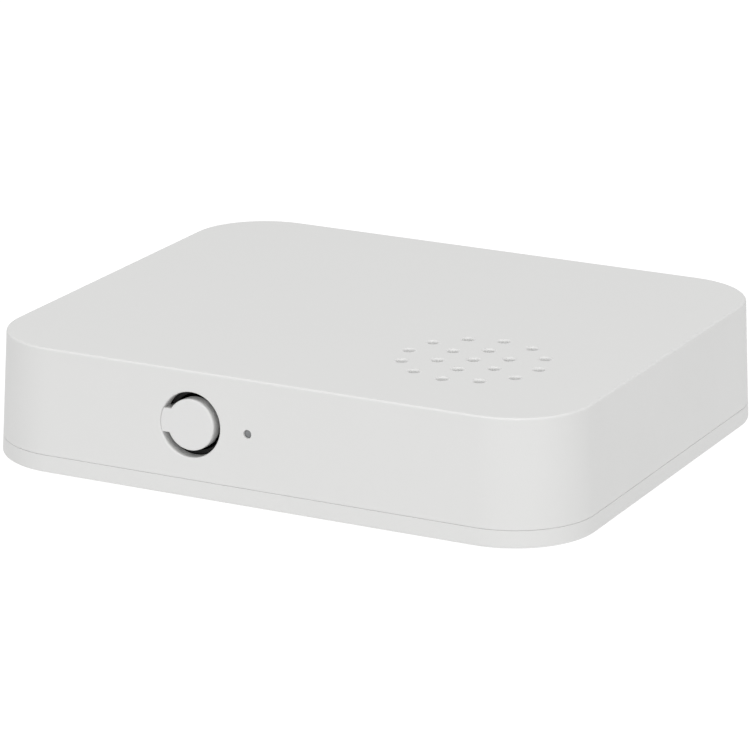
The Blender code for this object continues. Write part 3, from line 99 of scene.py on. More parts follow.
# %% [markdown]
# ## Camera, floor and light
# A long lens from six widths away keeps the box's edges nearly parallel. The floor is plain and pale. The
# light is one bright, even sky with three large soft lamps. The strong one is almost overhead. Two weak ones
# shine from low in front and from low at the right. Between them they make the rounded corner brighter than
# the two sides beside it, and they shine into the gap round the button.


# %% Camera
def link(name, data):
    made = bpy.data.objects.new(name, data)
    bpy.context.scene.collection.objects.link(made)
    return made


width = 2 * HALF_WIDTH
camera_data = bpy.data.cameras.new("camera")
camera_data.sensor_width = 36.0
camera_data.lens = 201.9
camera = link("camera", camera_data)
camera.location = (2.8331 * width, -5.6902 * width, 2.0525 * width + BOTTOM_Z)
camera.rotation_euler = (1.2718, -0.0059, 0.4653)
bpy.context.scene.camera = camera
bpy.context.scene.view_settings.view_transform = "Standard"
print("camera, m:", [round(v, 3) for v in camera.location])

# %% Floor, sky and lamps
SKY_LEVEL = 0.44
FLOOR_SIZE = 8.0
FLOOR_GLOW = 0.95
LAMP_DISTANCE = 2.6
LAMP_SIZE = 1.6
OPAQUE_WHITE = (1.0, 1.0, 1.0, 1.0)


def plain_shader(name, colour, roughness):
    material = bpy.data.materials.new(name)
    material.use_nodes = True
    shader = material.node_tree.nodes["Principled BSDF"]
    shader.inputs["Base Color"].default_value = (*colour, 1.0)
    shader.inputs["Roughness"].default_value = roughness
    return material, shader


bm = bmesh.new()
bmesh.ops.create_grid(bm, x_segments=1, y_segments=1, size=FLOOR_SIZE / 2)
floor_mesh = bpy.data.meshes.new("floor")
bm.to_mesh(floor_mesh)
bm.free()
floor = link("floor", floor_mesh)
floor_material, floor_shader = plain_shader("floor_white", (0.1, 0.1, 0.1), 0.9)
floor_shader.inputs["Emission Color"].default_value = OPAQUE_WHITE
floor_shader.inputs["Emission Strength"].default_value = FLOOR_GLOW
floor_mesh.materials.append(floor_material)

world = bpy.data.worlds.new("sky")
world.use_nodes = True
world.node_tree.nodes["Background"].inputs["Color"].default_value = OPAQUE_WHITE
world.node_tree.nodes["Background"].inputs["Strength"].default_value = SKY_LEVEL
bpy.context.scene.world = world


def soft_lamp(name, azimuth, elevation, power):
    """A square area lamp that shines at the hub. Azimuth is counted from the front towards the right."""
    lamp = bpy.data.lights.new(name, "AREA")
    lamp.shape = "SQUARE"
    lamp.size = LAMP_SIZE
    lamp.energy = power
    made = link(name, lamp)
    a, e = math.radians(azimuth), math.radians(elevation)
    away = Vector((math.sin(a) * math.cos(e), -math.cos(a) * math.cos(e), math.sin(e)))
    made.location = away * LAMP_DISTANCE
    made.rotation_euler = away.to_track_quat("Z", "Y").to_euler()


soft_lamp("high_lamp", -9.8, 80.8, 42.3)
soft_lamp("front_lamp", 0.0, 17.0, 6.5)
soft_lamp("side_lamp", 50.0, 20.0, 15.2)
print("lamps:", sorted(bpy.data.lights.keys()))

# %% [markdown]
# ## Helpers for node trees
# Shader trees and Geometry Nodes trees are both built by script. One helper adds a node and fills its inputs:
# a value is set on the input, and an output of another node is linked to it.


# %% Node helpers
def fill(tree, socket, value):
    """Sets an input to a value, or links it where the value is another node's output."""
    if isinstance(value, bpy.types.NodeSocket):
        tree.links.new(value, socket)
    else:
        socket.default_value = value


def add_node(tree, kind, settings=None, **inputs):
    """Adds a node. A keyword names an input, with _ for each space."""
    made = tree.nodes.new(kind)
    for name, value in (settings or {}).items():
        setattr(made, name, value)
    for name, value in inputs.items():
        fill(tree, made.inputs[name.replace("_", " ")], value)
    return made


def calculate(tree, operation, *values):
    """A Math node's output."""
    made = add_node(tree, "ShaderNodeMath", {"operation": operation})
    for socket, value in zip(made.inputs, values):
        fill(tree, socket, value)
    return made.outputs[0]


def start_group(name, kind, inputs, outputs):
    """A node group with named sockets. Returns the tree, its input node's outputs and its output node."""
    tree = bpy.data.node_groups.new(name, kind)
    for label, socket, default in inputs:
        made = tree.interface.new_socket(label, in_out="INPUT", socket_type="NodeSocket" + socket)
        if default is not None:
            made.default_value = default
    for label, socket in outputs:
        tree.interface.new_socket(label, in_out="OUTPUT", socket_type="NodeSocket" + socket)
    return tree, tree.nodes.new("NodeGroupInput").outputs, tree.nodes.new("NodeGroupOutput")


# %% [markdown]
# ## Shader groups that finishes share
# Three effects come back in many finishes, so each is a group of its own. Spark-eroded grain is the fine,
# even roughness that a mould leaves on plastic. Tone drift is the faint unevenness of any real colour over
# some centimetres. Hairlines are the fine scratches of handled or drawn metal, long in one direction.


# %% Grain group
POSITION = ("Position", "Vector", None)


def make_grain_group():
    sockets = [POSITION, ("Grain Size", "Float", 0.0003)]
    tree, given, out = start_group("moulded_grain", "ShaderNodeTree", sockets, [("Height", "Float")])
    place, finer = given["Position"], calculate(tree, "DIVIDE", 1.0, given["Grain Size"])
    noise = add_node(tree, "ShaderNodeTexNoise", Vector=place, Scale=finer, Detail=3.0, Roughness=0.6)
    coarser = calculate(tree, "MULTIPLY", finer, 0.7)
    blunt = {"feature": "SMOOTH_F1"}
    pits = add_node(tree, "ShaderNodeTexVoronoi", blunt, Vector=place, Scale=coarser, Smoothness=0.6)
    height = calculate(tree, "MULTIPLY_ADD", pits.outputs["Distance"], 0.6, noise.outputs["Fac"])
    tree.links.new(height, out.inputs["Height"])
    return tree


GRAIN = make_grain_group()


# %% Tone group
def make_tone_group():
    sockets = [
        POSITION,
        ("Colour", "Color", (0.8, 0.8, 0.8, 1.0)),
        ("Other Colour", "Color", (0.7, 0.7, 0.7, 1.0)),
        ("Patch Size", "Float", 0.02),
        ("Amount", "Float", 0.3),
    ]
    results = [("Colour", "Color"), ("Mask", "Float")]
    tree, given, out = start_group("tone_drift", "ShaderNodeTree", sockets, results)
    place, finer = given["Position"], calculate(tree, "DIVIDE", 1.0, given["Patch Size"])
    noise = add_node(tree, "ShaderNodeTexNoise", Vector=place, Scale=finer, Detail=4.0, Roughness=0.55)
    smooth = {"interpolation_type": "SMOOTHSTEP"}
    cloud = noise.outputs["Fac"]
    spread = add_node(tree, "ShaderNodeMapRange", smooth, Value=cloud, From_Min=0.35, From_Max=0.68)
    mask = calculate(tree, "MULTIPLY", spread.outputs["Result"], given["Amount"])
    mix = add_node(tree, "ShaderNodeMix", {"data_type": "RGBA"}, Factor=mask)
    fill(tree, mix.inputs[6], given["Colour"])
    fill(tree, mix.inputs[7], given["Other Colour"])
    tree.links.new(mix.outputs[2], out.inputs["Colour"])
    tree.links.new(mask, out.inputs["Mask"])
    return tree


TONE = make_tone_group()


# %% Hairline group
def make_hairline_group():
    sockets = [POSITION, ("Width", "Float", 0.0001), ("Stretch", "Vector", (1.0, 0.04, 1.0))]
    tree, given, out = start_group("hairlines", "ShaderNodeTree", sockets, [("Height", "Float")])
    stretched = add_node(tree, "ShaderNodeVectorMath", {"operation": "MULTIPLY"})
    fill(tree, stretched.inputs[0], given["Position"])
    fill(tree, stretched.inputs[1], given["Stretch"])
    finer = calculate(tree, "DIVIDE", 1.0, given["Width"])
    noise = add_node(tree, "ShaderNodeTexNoise", Vector=stretched.outputs[0], Scale=finer, Detail=2.0)
    tree.links.new(noise.outputs["Fac"], out.inputs["Height"])
    return tree


HAIRLINES = make_hairline_group()
print("shader groups:", [group.name for group in (GRAIN, TONE, HAIRLINES)])

# %% [markdown]
# ## Finishes
# Every finish starts from the same three steps: a colour that drifts slightly, a roughness that drifts with
# it, and a relief in the surface. Values that are the same all over are set on the shader itself. Plastics
# differ from each other mostly in colour and roughness, and metals in their relief.


# %% Build a finish
ROUGHNESS_DRIFT = 0.12
HAIRLINE_STRETCH = (1.0, 0.05, 1.0)
HAIRLINE_RELIEF = 0.004 * MM
FINISHES = {}


def finish(
    name, colour, other, roughness, grain=0.3 * MM, relief=0.02 * MM, patch=25 * MM, drift=0.5, metallic=0.0
):
    """Adds a material with drifting colour and roughness and a moulded grain to FINISHES."""
    material, shader = plain_shader(name, colour, roughness)
    shader.inputs["Metallic"].default_value = metallic
    tree = material.node_tree
    place = add_node(tree, "ShaderNodeTexCoord").outputs["Object"]
    tones = {"Colour": (*colour, 1.0), "Other_Colour": (*other, 1.0), "Patch_Size": patch, "Amount": drift}
    tone = add_node(tree, "ShaderNodeGroup", {"node_tree": TONE}, Position=place, **tones)
    tree.links.new(tone.outputs["Colour"], shader.inputs["Base Color"])
    rough = calculate(tree, "MULTIPLY_ADD", tone.outputs["Mask"], ROUGHNESS_DRIFT, roughness)
    tree.links.new(rough, shader.inputs["Roughness"])
    texture = add_node(tree, "ShaderNodeGroup", {"node_tree": GRAIN}, Position=place, Grain_Size=grain)
    bump = add_node(tree, "ShaderNodeBump", Distance=relief, Height=texture.outputs["Height"], Strength=1.0)
    tree.links.new(bump.outputs["Normal"], shader.inputs["Normal"])
    FINISHES[name] = material
    return tree, place, bump


def metal_finish(name, colour, other, roughness, width=0.08 * MM):
    """A metal: a finish whose relief is hairlines instead of grain."""
    tree, place, bump = finish(name, colour, other, roughness, drift=0.6, patch=6 * MM, metallic=1.0)
    drawn = {"Position": place, "Width": width, "Stretch": HAIRLINE_STRETCH}
    lines = add_node(tree, "ShaderNodeGroup", {"node_tree": HAIRLINES}, **drawn)
    tree.links.new(lines.outputs["Height"], bump.inputs["Height"])
    bump.inputs["Distance"].default_value = HAIRLINE_RELIEF


# %% The finish of every slot
finish("casing_white", (0.68, 0.68, 0.673), (0.67, 0.67, 0.662), 0.5, relief=0.01 * MM)
finish("button_white", (0.68, 0.68, 0.676), (0.67, 0.67, 0.665), 0.45, relief=0.008 * MM)
finish("black_plastic", (0.007, 0.007, 0.0072), (0.011, 0.011, 0.011), 0.55)
finish("grey_rubber", (0.16, 0.16, 0.165), (0.21, 0.21, 0.21), 0.85, 0.5 * MM, 0.05 * MM)
metal_finish("zinc_steel", (0.62, 0.62, 0.6), (0.5, 0.5, 0.52), 0.32)
metal_finish("nickel_plate", (0.72, 0.71, 0.68), (0.62, 0.6, 0.56), 0.22)
finish("board_green", (0.012, 0.12, 0.045), (0.02, 0.19, 0.07), 0.35, patch=1.5 * MM)
finish("chip_black", (0.022, 0.022, 0.023), (0.035, 0.035, 0.036), 0.6, 0.15 * MM)
finish("clear_plastic", (0.25, 0.255, 0.26), (0.22, 0.23, 0.235), 0.4, relief=0.004 * MM)
finish("led_package", (0.82, 0.82, 0.7), (0.78, 0.74, 0.5), 0.35, patch=1.2 * MM)
finish("black_foam", (0.02, 0.02, 0.02), (0.045, 0.045, 0.045), 0.95, 0.4 * MM, 0.2 * MM)
finish("paper_cone", (0.035, 0.035, 0.034), (0.06, 0.06, 0.058), 0.85, 0.5 * MM, 0.06 * MM)
metal_finish("copper_wire", (0.72, 0.32, 0.16), (0.5, 0.2, 0.1), 0.3, 0.25 * MM)
finish("ferrite", (0.04, 0.04, 0.043), (0.075, 0.075, 0.08), 0.6, 0.3 * MM, 0.03 * MM)
metal_finish("black_aluminium", (0.045, 0.045, 0.05), (0.07, 0.07, 0.075), 0.42)
finish("white_nylon", (0.72, 0.7, 0.62), (0.66, 0.63, 0.54), 0.5)
finish("cell_wrap", (0.03, 0.12, 0.36), (0.04, 0.15, 0.42), 0.3, relief=0.004 * MM)
finish("lead_red", (0.42, 0.02, 0.015), (0.5, 0.04, 0.03), 0.42, relief=0.008 * MM)
WHITE = FINISHES["casing_white"]
print("finishes:", len(FINISHES))

# %% [markdown]
# ## Helpers for meshes
# Most of the case is lofted: a row of closed outlines, each with the same number of points, is joined by
# faces and capped at both ends. A hole is cut with a tool that is lofted too. Its outline widens near the
# surface along a quarter circle, so the cut leaves the small rounded rim that a mould gives every opening.


# %% Meshes from outlines
def turn(degrees, axis):
    return Matrix.Rotation(math.radians(degrees), 4, axis)


def piece_from(name, bm):
    """An object from a finished bmesh, with its doubles merged and its faces pointing out."""
    bmesh.ops.remove_doubles(bm, verts=bm.verts, dist=1e-7)
    bmesh.ops.recalc_face_normals(bm, faces=bm.faces)
    mesh = bpy.data.meshes.new(name)
    bm.to_mesh(mesh)
    bm.free()
    return link(name, mesh)


def loft(rings, bm=None):
    """Adds a closed solid through rings of equal length, capped at both ends."""
    bm = bm or bmesh.new()
    rows = [[bm.verts.new(point) for point in ring] for ring in rings]
    for lower, upper in zip(rows, rows[1:]):
        for k in range(len(lower)):
            after = (k + 1) % len(lower)
            bm.faces.new((lower[k], lower[after], upper[after], upper[k]))
    bm.faces.new(rows[0])
    bm.faces.new(rows[-1])
    return bm


def at_height(outline, z):
    return [Vector((x, y, z)) for x, y in outline]


def prism(outline, low, high, bm=None):
    """Adds an upright solid with the same outline all the way."""
    return loft([at_height(outline, low), at_height(outline, high)], bm)


def rounded_rectangle(half_x, half_y, radius, segments):
    points = []
    for quarter, (sx, sy) in enumerate([(1, 1), (-1, 1), (-1, -1), (1, -1)]):
        for k in range(segments + 1):
            angle = math.radians(90) * (quarter + k / segments)
            x = sx * (half_x - radius) + radius * math.cos(angle)
            points.append((x, sy * (half_y - radius) + radius * math.sin(angle)))
    return points


def circle(radius, segments):
    angles = [math.tau * k / segments for k in range(segments)]
    return [(radius * math.cos(a), radius * math.sin(a)) for a in angles]


def quarter_arc(radius, steps):
    """(sideways, along) of a quarter circle that starts flat and ends upright."""
    angles = [math.radians(90) * k / steps for k in range(steps + 1)]
    return [(radius * (1 - math.sin(a)), radius * (1 - math.cos(a))) for a in angles]


def rod(start, end, radius, segments=32, bm=None):
    """Adds a cylinder between two points."""
    start, end = Vector(start), Vector(end)
    along = (end - start).to_track_quat("Z", "Y").to_matrix().to_4x4()
    at = Matrix.Translation(start) @ along
    length = (end - start).length
    return loft([[at @ point for point in at_height(circle(radius, segments), z)] for z in (0.0, length)], bm)


def post(point, low, high, radius, segments, bm):
    """Adds an upright cylinder at a point's place in the plan."""
    rod((point.x, point.y, low), (point.x, point.y, high), radius, segments, bm)


def slab(low, high):
    """A box between two corners."""
    corners = [(low[0], low[1]), (high[0], low[1]), (high[0], high[1]), (low[0], high[1])]
    return prism(corners, low[2], high[2])


def turned(profile, centre=(0, 0), segments=64):
    """A solid turned about the upright axis at centre, from an outline that starts and ends on the axis."""
    rings = []
    for radius, height in profile:
        points = circle(max(radius, 1e-6), segments)
        rings.append([Vector((centre[0] + x, centre[1] + y, height)) for x, y in points])
    return loft(rings)


def turned_ring(profile, centre=(0, 0), segments=64):
    """A ring turned about the upright axis, from an outline that doesn't touch the axis."""
    bm = bmesh.new()
    columns = []
    for x, y in circle(1.0, segments):
        columns.append([bm.verts.new((centre[0] + x * r, centre[1] + y * r, z)) for r, z in profile])
    for k in range(segments):
        one, two = columns[k], columns[(k + 1) % segments]
        for j in range(len(profile)):
            after = (j + 1) % len(profile)
            bm.faces.new((one[j], one[after], two[after], two[j]))
    return bm


def tube(path, radii, segments):
    """A round wire with a radius for each point of its path. No ring can twist against the one before."""
    path = [Vector(point) for point in path]
    side = Vector((0, 0, 1)) if abs((path[1] - path[0]).normalized().z) < 0.9 else Vector((1, 0, 0))
    rings = []
    for k, point in enumerate(path):
        along = (path[min(k + 1, len(path) - 1)] - path[max(k - 1, 0)]).normalized()
        side = (side - along * side.dot(along)).normalized()
        other = along.cross(side)
        rings.append([point + side * x + other * y for x, y in circle(radii[k], segments)])
    return loft(rings)


def hole_tool(outline, depth, rim, taper=0.0):
    """A cutter along -Z from a surface at z = 0. outline(offset) gives its plan, grown by offset."""
    lift, skin = 0.5 * MM, 2e-6
    rings = [at_height(outline(rim), lift)]
    rings += [at_height(outline(sideways), skin - down) for sideways, down in quarter_arc(rim, 5)]
    return loft([*rings, at_height(outline(-taper), -depth)])


def round_tool(radius, segments, depth, rim, taper=0.0):
    return hole_tool(lambda grow: circle(radius + grow, segments), depth, rim, taper)


# %% [markdown]
# A tool or a repeated shape is only needed until the piece is finished. `settle` replaces a piece's mesh by
# its evaluated shape, takes the modifiers off and removes the tools. Wide flat faces then keep their flat
# shading, because the Weighted Normal modifier lets the largest face at each corner decide.


# %% Cut, join and settle
TOOLS = []
BODY_OF = {node: body for body, nodes in frame["record"]["behaviour"]["bodies"].items() for node in nodes}
SLOT_OF = {name: node.data.materials[0].name.split(".")[0] for name, node in frame["nodes"].items()}


def tool_from(name, bm, place=None):
    made = piece_from(name, bm)
    if place is not None:
        made.data.transform(place)
    made.hide_render = True
    TOOLS.append(made)
    return made


def combine(piece, name, bm, operation, place=None):
    modifier = piece.modifiers.new(name, "BOOLEAN")
    modifier.operation = operation
    modifier.object = tool_from(name, bm, place)
    modifier.solver = "EXACT"


def join(piece, name, bm, place=None):
    combine(piece, name, bm, "UNION", place)


def cut(piece, name, bm, place=None):
    combine(piece, name, bm, "DIFFERENCE", place)


def bake(piece):
    """Makes the piece's evaluated shape its plain mesh and takes its modifiers off."""
    graph = bpy.context.evaluated_depsgraph_get()
    mesh = bpy.data.meshes.new_from_object(piece.evaluated_get(graph))
    mesh.name = piece.name
    piece.modifiers.clear()
    piece.data = mesh
    return mesh


def settle(piece, material=None, angle=35.0):
    """Bakes the piece, removes the tools, sets its material and shades it."""
    mesh = bake(piece)
    while TOOLS:
        bpy.data.objects.remove(TOOLS.pop())
    if material is not None:
        mesh.materials.clear()
        mesh.materials.append(material)
        mesh.polygons.foreach_set("material_index", [0] * len(mesh.polygons))
    mesh.shade_smooth()
    mesh.set_sharp_from_angle(angle=math.radians(angle))
    weights = piece.modifiers.new("flat_faces_decide", "WEIGHTED_NORMAL")
    weights.keep_sharp = True
    weights.weight = 80
    bake(piece)


def fit(piece, body, slot, *nodes):
    """The piece rides on a body and stands for the CAD nodes. Its slot is not used."""
    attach(piece, body)
    if nodes:
        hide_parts(*nodes)
    print(f"{piece.name}: {len(piece.data.polygons)} faces on {body}")


def stand_in(piece, *nodes, angle=35.0, place=None):
    """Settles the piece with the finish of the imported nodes, and lets it stand for them on their body."""
    slot = SLOT_OF[nodes[0]]
    settle(piece, FINISHES[slot], angle)
    if place is not None:
        piece.data.transform(place)
    fit(piece, BODY_OF[nodes[0]], slot, *nodes)


def extra(piece, node, slot):
    """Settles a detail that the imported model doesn't have. It rides with the node that it belongs to."""
    settle(piece, FINISHES[slot])
    fit(piece, BODY_OF[node], slot)


# %% [markdown]
# ## Geometry Nodes that repeat a shape
# The sound holes, the air slots, the feet and the screws are each one shape that comes back many times. A
# small tree places points in a pattern and puts an instance of the shape on each. Instances are made real at
# the end, because the finished piece has to be a plain mesh. Where the shape is a cutter, the tree takes it
# away from the geometry that comes in.


# %% Move points and use a tree
def transform(tree, geometry, place, rotation=(0, 0, 0)):
    values = {"Geometry": geometry, "Translation": place, "Rotation": rotation}
    return add_node(tree, "GeometryNodeTransform", **values).outputs["Geometry"]


def use_tree(piece, tree, **values):
    """Adds the tree as a modifier and sets its inputs, found by name, through their identifiers."""
    modifier = piece.modifiers.new(tree.name, "NODES")
    modifier.node_group = tree
    for item in tree.interface.items_tree:
        key = item.name.replace(" ", "_").lower()
        if item.in_out == "INPUT" and key in values:
            modifier[item.identifier] = values[key]


# %% [markdown]
# Three patterns are enough for this product: rings round a middle, a row, and the four corners of a
# rectangle. A tree either cuts the shape from the geometry that comes in, or keeps the copies.


# %% Pattern trees
def ring_points(tree, given):
    join = tree.nodes.new("GeometryNodeJoinGeometry")
    middle = add_node(tree, "GeometryNodeMeshLine", Count=1).outputs["Mesh"]
    tree.links.new(transform(tree, middle, given["Centre"]), join.inputs[0])
    for ring, (count, first) in enumerate([(6, 30.0), (12, 0.0)], start=1):
        radius = calculate(tree, "MULTIPLY", given["Ring Step"], float(ring))
        points = add_node(tree, "GeometryNodeMeshCircle", Vertices=count, Radius=radius).outputs["Mesh"]
        placed = transform(tree, points, given["Centre"], (0.0, 0.0, math.radians(first)))
        tree.links.new(placed, join.inputs[0])
    return join.outputs[0]


def row_points(tree, given):
    values = {"Count": given["Count"], "Offset": given["Step"], "Start_Location": given["First"]}
    return add_node(tree, "GeometryNodeMeshLine", {"mode": "OFFSET"}, **values).outputs["Mesh"]


def corner_points(tree, given):
    values = {"Size_X": given["Span X"], "Size_Y": given["Span Y"], "Vertices_X": 2, "Vertices_Y": 2}
    return transform(tree, add_node(tree, "GeometryNodeMeshGrid", **values).outputs["Mesh"], given["Centre"])


def make_pattern_tree(name, points_of, sockets, cuts=False):
    """A tree that repeats the mesh of Shape, and cuts it away or keeps it."""
    before = [("Geometry", "Geometry", None), ("Shape", "Object", None)]
    inputs = before + sockets + [("Material", "Material", None)]
    tree, given, out = start_group(name, "GeometryNodeTree", inputs, [("Geometry", "Geometry")])
    points = points_of(tree, given)
    shape = add_node(tree, "GeometryNodeObjectInfo", Object=given["Shape"]).outputs["Geometry"]
    spread = add_node(tree, "GeometryNodeInstanceOnPoints", Points=points, Instance=shape).outputs[0]
    result = add_node(tree, "GeometryNodeRealizeInstances", Geometry=spread).outputs[0]
    if cuts:
        solve = {"operation": "DIFFERENCE", "solver": "EXACT"}
        taken = add_node(tree, "GeometryNodeMeshBoolean", solve, Mesh_1=given["Geometry"], Mesh_2=result)
        result = taken.outputs["Mesh"]
    painted = add_node(tree, "GeometryNodeSetMaterial", Geometry=result, Material=given["Material"])
    tree.links.new(painted.outputs[0], out.inputs["Geometry"])
    return tree


RING_SOCKETS = [("Centre", "Vector", None), ("Ring Step", "Float", 8 * MM)]
ROW_SOCKETS = [("First", "Vector", None), ("Step", "Vector", None), ("Count", "Int", 8)]
CORNER_SOCKETS = [("Centre", "Vector", None), ("Span X", "Float", 0.1), ("Span Y", "Float", 0.1)]
CUT_RINGS = make_pattern_tree("cut_rings", ring_points, RING_SOCKETS, True)
CUT_ROW = make_pattern_tree("cut_row", row_points, ROW_SOCKETS, True)
CUT_CORNERS = make_pattern_tree("cut_corners", corner_points, CORNER_SOCKETS, True)
ROW = make_pattern_tree("row", row_points, ROW_SOCKETS)
CORNERS = make_pattern_tree("corners", corner_points, CORNER_SOCKETS)
print("geometry trees:", [tree.name for tree in (CUT_RINGS, CUT_ROW, CUT_CORNERS, ROW, CORNERS)])

# %% [markdown]
# ## The front wall's own frame
# The button and the light sit in a wall that leans by the draft angle. Their shapes are drawn flat, with the
# wall's outer face at y = 0 and +Y running into the case, and one matrix then puts them in place. The matrix
# comes from the button's hinge, whose place the joint in the record gives.

# %% Front frame
BUTTON_HOLE_RADIUS = 7.1 * MM
COLLAR_DEPTH = 0.8 * MM
COLLAR_WIDTH = 1.2 * MM
GAP = 0.3 * MM
BRACKET_DEPTH = WALL + COLLAR_DEPTH + 2 * GAP
KNUCKLE_RADIUS = 1.8 * MM
HINGE_FROM_BUTTON = BUTTON_HOLE_RADIUS + 2.8 * MM
HINGE_DEPTH = BRACKET_DEPTH + KNUCKLE_RADIUS
hinge = Vector(next(j for j in frame["joints"] if j["name"] == "button_press")["pos_m"])
FRONT = Matrix.Translation(hinge) @ Matrix.Rotation(-DRAFT, 4, "X")
FRONT = FRONT @ Matrix.Translation((HINGE_FROM_BUTTON, -HINGE_DEPTH, 0))
INTO_FRONT = FRONT @ turn(90, "X")
print("button centre, mm:", [round(v / MM, 2) for v in FRONT.translation])

# %% [markdown]
# ## Top cover
# The cover is one moulding: a roof and four leaning walls. A loft makes it, from the ceiling down the inside,
# round the lower edge and up the outside to the top edge. The lower edge has a small step, so that it laps
# over the base and the seam shows as a hairline and not as a gap into the dark.

# %% The cover's shell
CORNER_STEPS = 20
EDGE_STEPS = 4
SEAM_EDGE = 0.12 * MM
SEAM_SHOULDER = 0.2 * MM
SEAM_LINE = 0.02 * MM
LAP_DEPTH = 0.2 * MM
LAP_HEIGHT = 0.8 * MM


def case_ring(z, inset=0.0):
    """The case's outline at height z, drawn in by inset."""
    total = inset_at(z) + inset
    plan = rounded_rectangle(HALF_WIDTH - total, HALF_DEPTH - total, CORNER_RADIUS - total, CORNER_STEPS)
    return [Vector((x, y, z)) for x, y in plan]


def cover_shell():
    low = SEAM_Z + SEAM_LINE
    step_top = low + LAP_HEIGHT
    rings = [case_ring(CEILING_Z, WALL), case_ring(step_top, WALL)]
    rings += [case_ring(step_top, LAP_DEPTH), case_ring(low, LAP_DEPTH)]
    rings += [case_ring(low + along, sideways) for sideways, along in quarter_arc(SEAM_EDGE, 2)]
    for sideways, along in reversed(quarter_arc(TOP_EDGE, EDGE_STEPS)):
        rings.append(case_ring(TOP_Z - along, sideways))
    return loft(rings)


cover = piece_from("cover_shell", cover_shell())
print("cover shell:", len(cover.data.polygons), "faces")

# %% [markdown]
# Posts stand on the inside of the roof. Four long ones take the screws that come up through the base, and
# three short ones hold the loudspeaker. A collar stiffens the button's hole, and two pegs carry its bracket.

# %% Posts, collar and pegs
POST_RADIUS = 3.5 * MM
PILOT_RADIUS = 1.55 * MM
SPEAKER_POST_RADIUS = 1.8 * MM
SPEAKER_PILOT_RADIUS = 1.0 * MM
SCREW_SEAT_TOP = BOTTOM_Z + 4.0 * MM
PEG_RADIUS = 1.0 * MM
PEG_HEIGHT = 6.4 * MM
PEG_SPAN = (-HINGE_FROM_BUTTON, BUTTON_HOLE_RADIUS + GAP)
PEG_END = BRACKET_DEPTH + 2.6 * MM
PLACES = ("front_left", "front_right", "rear_left", "rear_right")
SCREW_POINTS = [middle_of(f"case_screw_{place}") for place in PLACES]
SPEAKER_SCREWS = [f"speaker_screw_{k}" for k in (1, 2, 3)]
FLANGE_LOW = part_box("speaker_gasket")[0].z - GAP - 1.0 * MM

posts, pilots = bmesh.new(), bmesh.new()
pilot_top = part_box("case_screw_front_left")[1].z + 2 * MM
for point in SCREW_POINTS:
    post(point, SCREW_SEAT_TOP + GAP, CEILING_Z + ROOF / 2, POST_RADIUS, 48, posts)
    post(point, SEAM_Z - MM, pilot_top, PILOT_RADIUS, 24, pilots)
for node in SPEAKER_SCREWS:
    post(middle_of(node), FLANGE_LOW, CEILING_Z + ROOF / 2, SPEAKER_POST_RADIUS, 32, posts)
    post(middle_of(node), FLANGE_LOW - MM, CEILING_Z - GAP, SPEAKER_PILOT_RADIUS, 24, pilots)
join(cover, "cover_posts", posts)
cut(cover, "cover_pilots", pilots)

on_wall = rod((0, 0, -WALL - COLLAR_DEPTH), (0, 0, -WALL / 2), BUTTON_HOLE_RADIUS + COLLAR_WIDTH, 96)
for x, y in zip(PEG_SPAN, (PEG_HEIGHT, -PEG_HEIGHT)):
    rod((x, y, -PEG_END), (x, y, -WALL / 2), PEG_RADIUS, 24, on_wall)
join(cover, "collar_and_pegs", on_wall, INTO_FRONT)
print("joined to the cover:", [modifier.name for modifier in cover.modifiers])

# %% [markdown]
# The holes come next. The nineteen sound holes stand in a ring of six and a ring of twelve round one in the
# middle. The button's hole and the light's pinhole are cut square to the leaning front wall.

# %% Holes in the cover
SOUND_HOLE_RADIUS = 1.1 * MM
SOUND_HOLE_RIM = 0.6 * MM
SOUND_HOLE_TAPER = 0.5 * MM
RING_STEP = 7.65 * MM
BUTTON_HOLE_RIM = 0.45 * MM
PINHOLE_RADIUS = 0.94 * MM
PINHOLE_RIM = 0.12 * MM

speaker = middle_of("speaker_gasket")
light = middle_of("light_pipe")
hole = round_tool(SOUND_HOLE_RADIUS, 32, ROOF + 0.4 * MM, SOUND_HOLE_RIM, SOUND_HOLE_TAPER)
sound_hole = tool_from("sound_hole_tool", hole)
middle = (speaker.x, speaker.y, TOP_Z)
use_tree(cover, CUT_RINGS, shape=sound_hole, centre=middle, ring_step=RING_STEP, material=WHITE)
cut(cover, "button_hole_tool", round_tool(BUTTON_HOLE_RADIUS, 96, 2 * WALL, BUTTON_HOLE_RIM), INTO_FRONT)
to_light = Matrix.Translation((light.x - FRONT.translation.x, 0, 0))
cut(cover, "pinhole_tool", round_tool(PINHOLE_RADIUS, 32, 2 * WALL, PINHOLE_RIM), to_light @ INTO_FRONT)

# %% [markdown]
# The back wall has one opening for each socket, and a pinhole over the reset switch. Each opening follows the
# box of the socket that it shows, with a small clearance all round.

# %% Openings in the back wall
PORT_CLEARANCE = 0.35 * MM
PORT_RIM = 0.3 * MM
PORT_CORNER = 0.7 * MM
PORT_TOOL_DEPTH = 3 * WALL
RESET_HOLE_RADIUS = 0.8 * MM
BACK_TURN = Matrix.Rotation(DRAFT, 4, "X") @ turn(-90, "X")


def back_wall_place(x, z):
    """On the back wall's outer face, with the wall's own normal as +Z."""
    return Matrix.Translation((x, HALF_DEPTH - inset_at(z), z)) @ BACK_TURN


